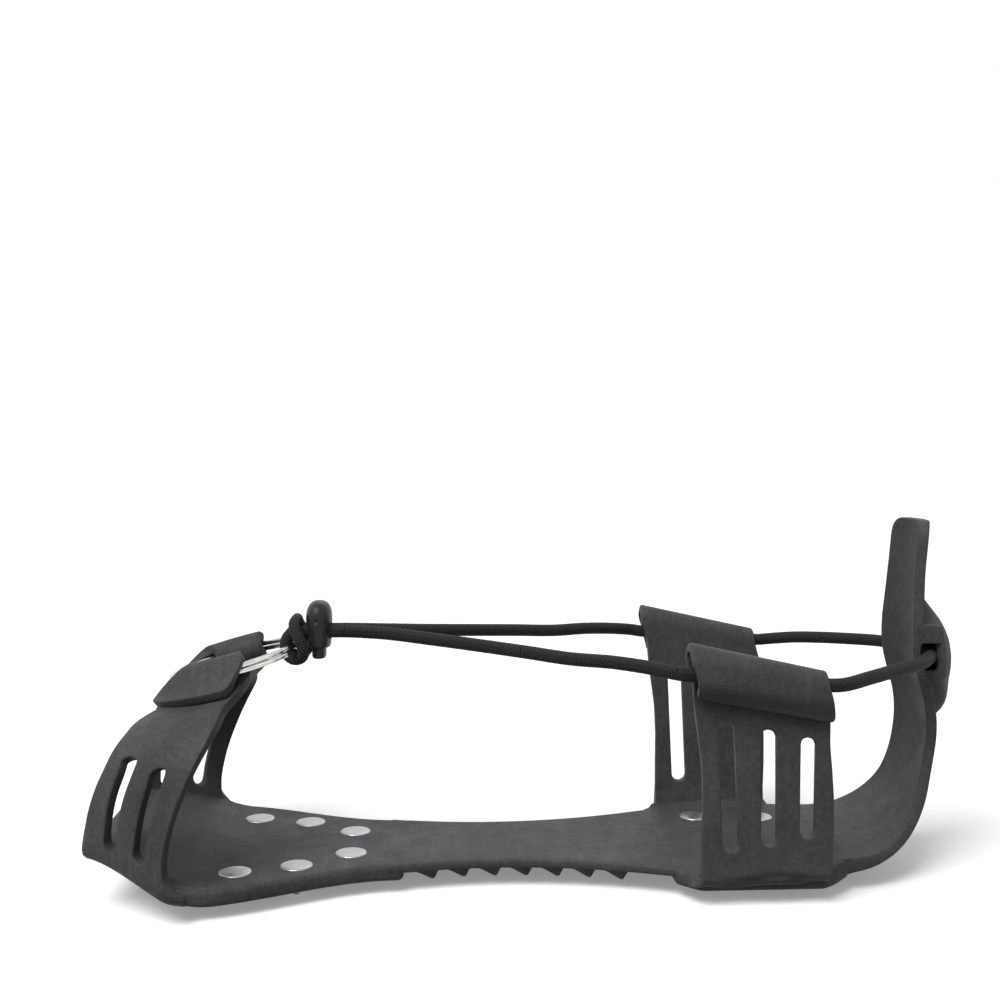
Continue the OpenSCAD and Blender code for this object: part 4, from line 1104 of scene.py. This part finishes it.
def lock_body():
    widest, top = LOCK_LOW + LOCK_WIDEST * LOCK_H, LOCK_LOW + LOCK_H
    profile = [(1 - LOCK_TAPER - 0.16, LOCK_LOW), (1 - LOCK_TAPER - 0.05, LOCK_LOW + 0.12),
               (1 - LOCK_TAPER * 0.99, LOCK_LOW + 0.5)]
    profile += [(1 - LOCK_TAPER * ((widest - z) / (widest - LOCK_LOW)) ** 2, z)
                for z in np.linspace(LOCK_LOW + 1, widest, 12)]
    power = 2 / LOCK_DOME
    profile += [(math.cos(a) ** power, widest + (top - widest) * math.sin(a) ** power)
                for a in np.linspace(0.08, math.pi / 2 - 0.04, 16)]
    obj = loft("lock_barrel", [slab_ring(LOCK_HALF_W * f, 1.05 * LOCK_HALF_D * f, z, LOCK_ROUNDNESS)
                               for f, z in profile])
    cut_passage(obj, STRAND_Z - PASSAGE_HALF_H)
    cut_slab(obj, "chamber_tool", PLUNGER_HALF_W + LOCK_FIT, PLUNGER_HALF_D + LOCK_FIT,
             (STUB_TOP, PLUNGER_TOP + PRESS_TRAVEL + 0.1), BORE_ROUNDNESS)
    cut_slab(obj, "pocket_tool", SPRING_R + 0.4, SPRING_R + 0.4, (PLUNGER_TOP, SPRING_TOP), 2.0)
    cut_slab(obj, "mouth_tool", STUB_HALF_W + LOCK_FIT, STUB_HALF_D + LOCK_FIT,
             (LOCK_LOW - 1, STUB_TOP + 0.5), BORE_ROUNDNESS)
    dimple = [slab_ring(r, r, z, 2, 20) - np.array([LOCK_X, 0, 0]) for r, z in DIMPLE_PROFILE]
    cut(obj, loft("dimple_tool", [[(LOCK_X - 0.7 + p[0], -LOCK_HALF_W + p[2] + 0.1, STRAND_Z + 3.7 + p[1])
                                   for p in ring] for ring in dimple]))
    obj.data.set_sharp_from_angle(angle=SHARP_OVER)
    finish_piece(obj, LOCK_PLASTIC, "lock_plastic", "lock_body")
    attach(obj, "cord_lock")


def lock_plunger():
    stub = [slab_ring(STUB_HALF_W * w, STUB_HALF_D * w, z, 2.6) for w, z in (
        (0.72, STUB_LOW), (0.88, STUB_LOW + 0.12), (0.97, STUB_LOW + 0.45), (1.0, STUB_LOW + 1.0),
        (1.0, STUB_TOP + 0.2))]
    stub += [slab_ring(PLUNGER_HALF_W * w, PLUNGER_HALF_D * w, z, BORE_ROUNDNESS) for w, z in (
        (1.0, STUB_TOP + 0.6), (1.0, PLUNGER_TOP - 0.3), (0.96, PLUNGER_TOP))]
    obj = loft("plunger_stub", stub)
    cut_passage(obj, STRAND_Z - PASSAGE_HALF_H - PRESS_TRAVEL)
    obj.data.set_sharp_from_angle(angle=SHARP_OVER)
    finish_piece(obj, LOCK_PLASTIC, "lock_plastic", "lock_plunger")
    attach(obj, "plunger")


def lock_spring():
    turns = np.linspace(0, 2 * math.pi * SPRING_TURNS, 24 * SPRING_TURNS + 1)
    low, high = PLUNGER_TOP + SPRING_WIRE / 2 + 0.02, SPRING_TOP - SPRING_WIRE / 2 - 0.02
    z = np.linspace(low, high, len(turns))
    coil = point(LOCK_X + SPRING_R * np.cos(turns), SPRING_R * np.sin(turns), z)
    obj = tube("lock_spring_wire", coil, SPRING_WIRE / 2, first=SPRING_START)
    finish_piece(obj, SPRING_STEEL, "spring_steel", "lock_spring")
    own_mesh(obj)
    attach(obj, "cord_lock")


# Studs
def studs(name, places, node):
    obj = lathe(name, STUD_PROFILE, both_sides(places))
    finish_piece(obj, STUD_STEEL, "stud_steel", node)
    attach(obj, "overshoe")


forefoot()
heel()
bridge()
for which in SIDES:
    front_strap(which)
    rear_strap(which)
heel_strap()
heel_loop()
split_ring()
cords()
lock_body()
lock_plunger()
lock_spring()
studs("forefoot_stud_bodies", FORE_STUDS, "forefoot_studs")
studs("heel_stud_bodies", HEEL_STUDS, "heel_studs")
for node in ("forefoot_stud_tips", "heel_stud_tips"):
    tips = frame["nodes"][node]
    tips.data.materials.clear()
    tips.data.materials.append(TIP_METAL)

# Floor, light and camera
FLOOR_HALF, FLOOR_COLOUR, FLOOR_BOUNCE, FLOOR_GLOW = 6.0, (0.92, 0.92, 0.92), 0.2, 0.25
SKY_FROM = Vector((-0.36, -0.44, 0.82)).normalized()
SKY_POWER, SKY_SPREAD = 2.3, math.radians(32)
YAW, PITCH, DISTANCE, FOCAL = math.radians(3.0), math.radians(2.5), 0.400, 1.231
AIM = Vector((-0.012, 0, 0.1207))
SENSOR_WIDTH = 36


def put_in_scene(name, data):
    obj = bpy.data.objects.new(name, data)
    bpy.context.scene.collection.objects.link(obj)
    return obj


def turn_to(obj, direction):
    """Turns a lamp or the camera to look along a direction."""
    obj.rotation_euler = direction.to_track_quat("-Z", "Y").to_euler()


def seen_directly(s):
    """1 for what the camera, mirrors and glass see, 0 for the light that falls on the object."""
    path = s.add("LightPath").outputs
    mirrored_ray = s.calc("MAXIMUM", path["Is Glossy Ray"], path["Is Transmission Ray"])
    return s.calc("MAXIMUM", path["Is Camera Ray"], mirrored_ray)


def floor():
    """Pale floor, white where no shadow falls and darker in what it throws back on the object."""
    w = FLOOR_HALF
    mesh = bpy.data.meshes.new("floor")
    mesh.from_pydata([(-w, -w, 0), (w, -w, 0), (w, w, 0), (-w, w, 0)], [], [(0, 1, 2, 3)])
    s = new_shading("pale_floor")
    seen = seen_directly(s)
    colour = s.mix(seen, tuple(FLOOR_BOUNCE * c for c in FLOOR_COLOUR), FLOOR_COLOUR)
    s.surface({"Base Color": colour, "Roughness": 0.9, "Specular IOR Level": 0.0, "Emission Color": WHITE,
               "Emission Strength": s.calc("MULTIPLY", seen, FLOOR_GLOW)})
    mesh.materials.append(s.owner)
    put_in_scene("floor", mesh)


def world():
    """Soft light that is brightest from SKY_FROM, before a white background."""
    s = Shading(bpy.data.worlds.new("studio"))
    bpy.context.scene.world = s.owner
    facing = s.add("VectorMath")
    facing.operation = "DOT_PRODUCT"
    s.feed(facing.inputs[0], s.add("TexCoord").outputs["Generated"])
    s.feed(facing.inputs[1], SKY_FROM)
    light = s.ramp(facing.outputs["Value"], (0.0, grey(0.10)), (0.45, grey(0.22)), (1.0, grey(0.5)))
    s.feed(s.nodes["Background"].inputs["Color"], s.mix(seen_directly(s), light, WHITE))


def sky():
    light = bpy.data.lights.new("sky", "SUN")
    light.energy, light.angle = SKY_POWER, SKY_SPREAD
    turn_to(put_in_scene("sky", light), -SKY_FROM)


def lamp(name, place, aim, size, power):
    light = bpy.data.lights.new(name, "AREA")
    light.shape = "RECTANGLE"
    light.size, light.size_y = size
    light.energy = power
    obj = put_in_scene(name, light)
    obj.location = place
    turn_to(obj, Vector(aim) - Vector(place))


def camera():
    look = Vector((math.sin(YAW) * math.cos(PITCH), math.cos(YAW) * math.cos(PITCH), -math.sin(PITCH)))
    data = bpy.data.cameras.new("camera")
    data.sensor_fit = "HORIZONTAL"
    data.sensor_width = SENSOR_WIDTH
    data.lens = SENSOR_WIDTH * FOCAL
    data.clip_start = 0.01
    obj = put_in_scene("camera", data)
    obj.location = AIM - look * DISTANCE
    turn_to(obj, look)
    bpy.context.scene.camera = obj


floor()
world()
sky()
lamp("key", place=(-0.45, -0.55, 0.6), aim=(-0.09, 0, 0.05), size=(0.45, 0.45), power=0.9)
lamp("fill", place=(0.7, -0.6, 0.5), aim=(0, 0, 0.05), size=(0.6, 0.6), power=0.5)
lamp("back", place=(0.2, 0.8, 0.7), aim=(0, 0, 0.05), size=(0.8, 0.5), power=0.9)
camera()
bpy.context.scene.view_settings.view_transform = "Standard"
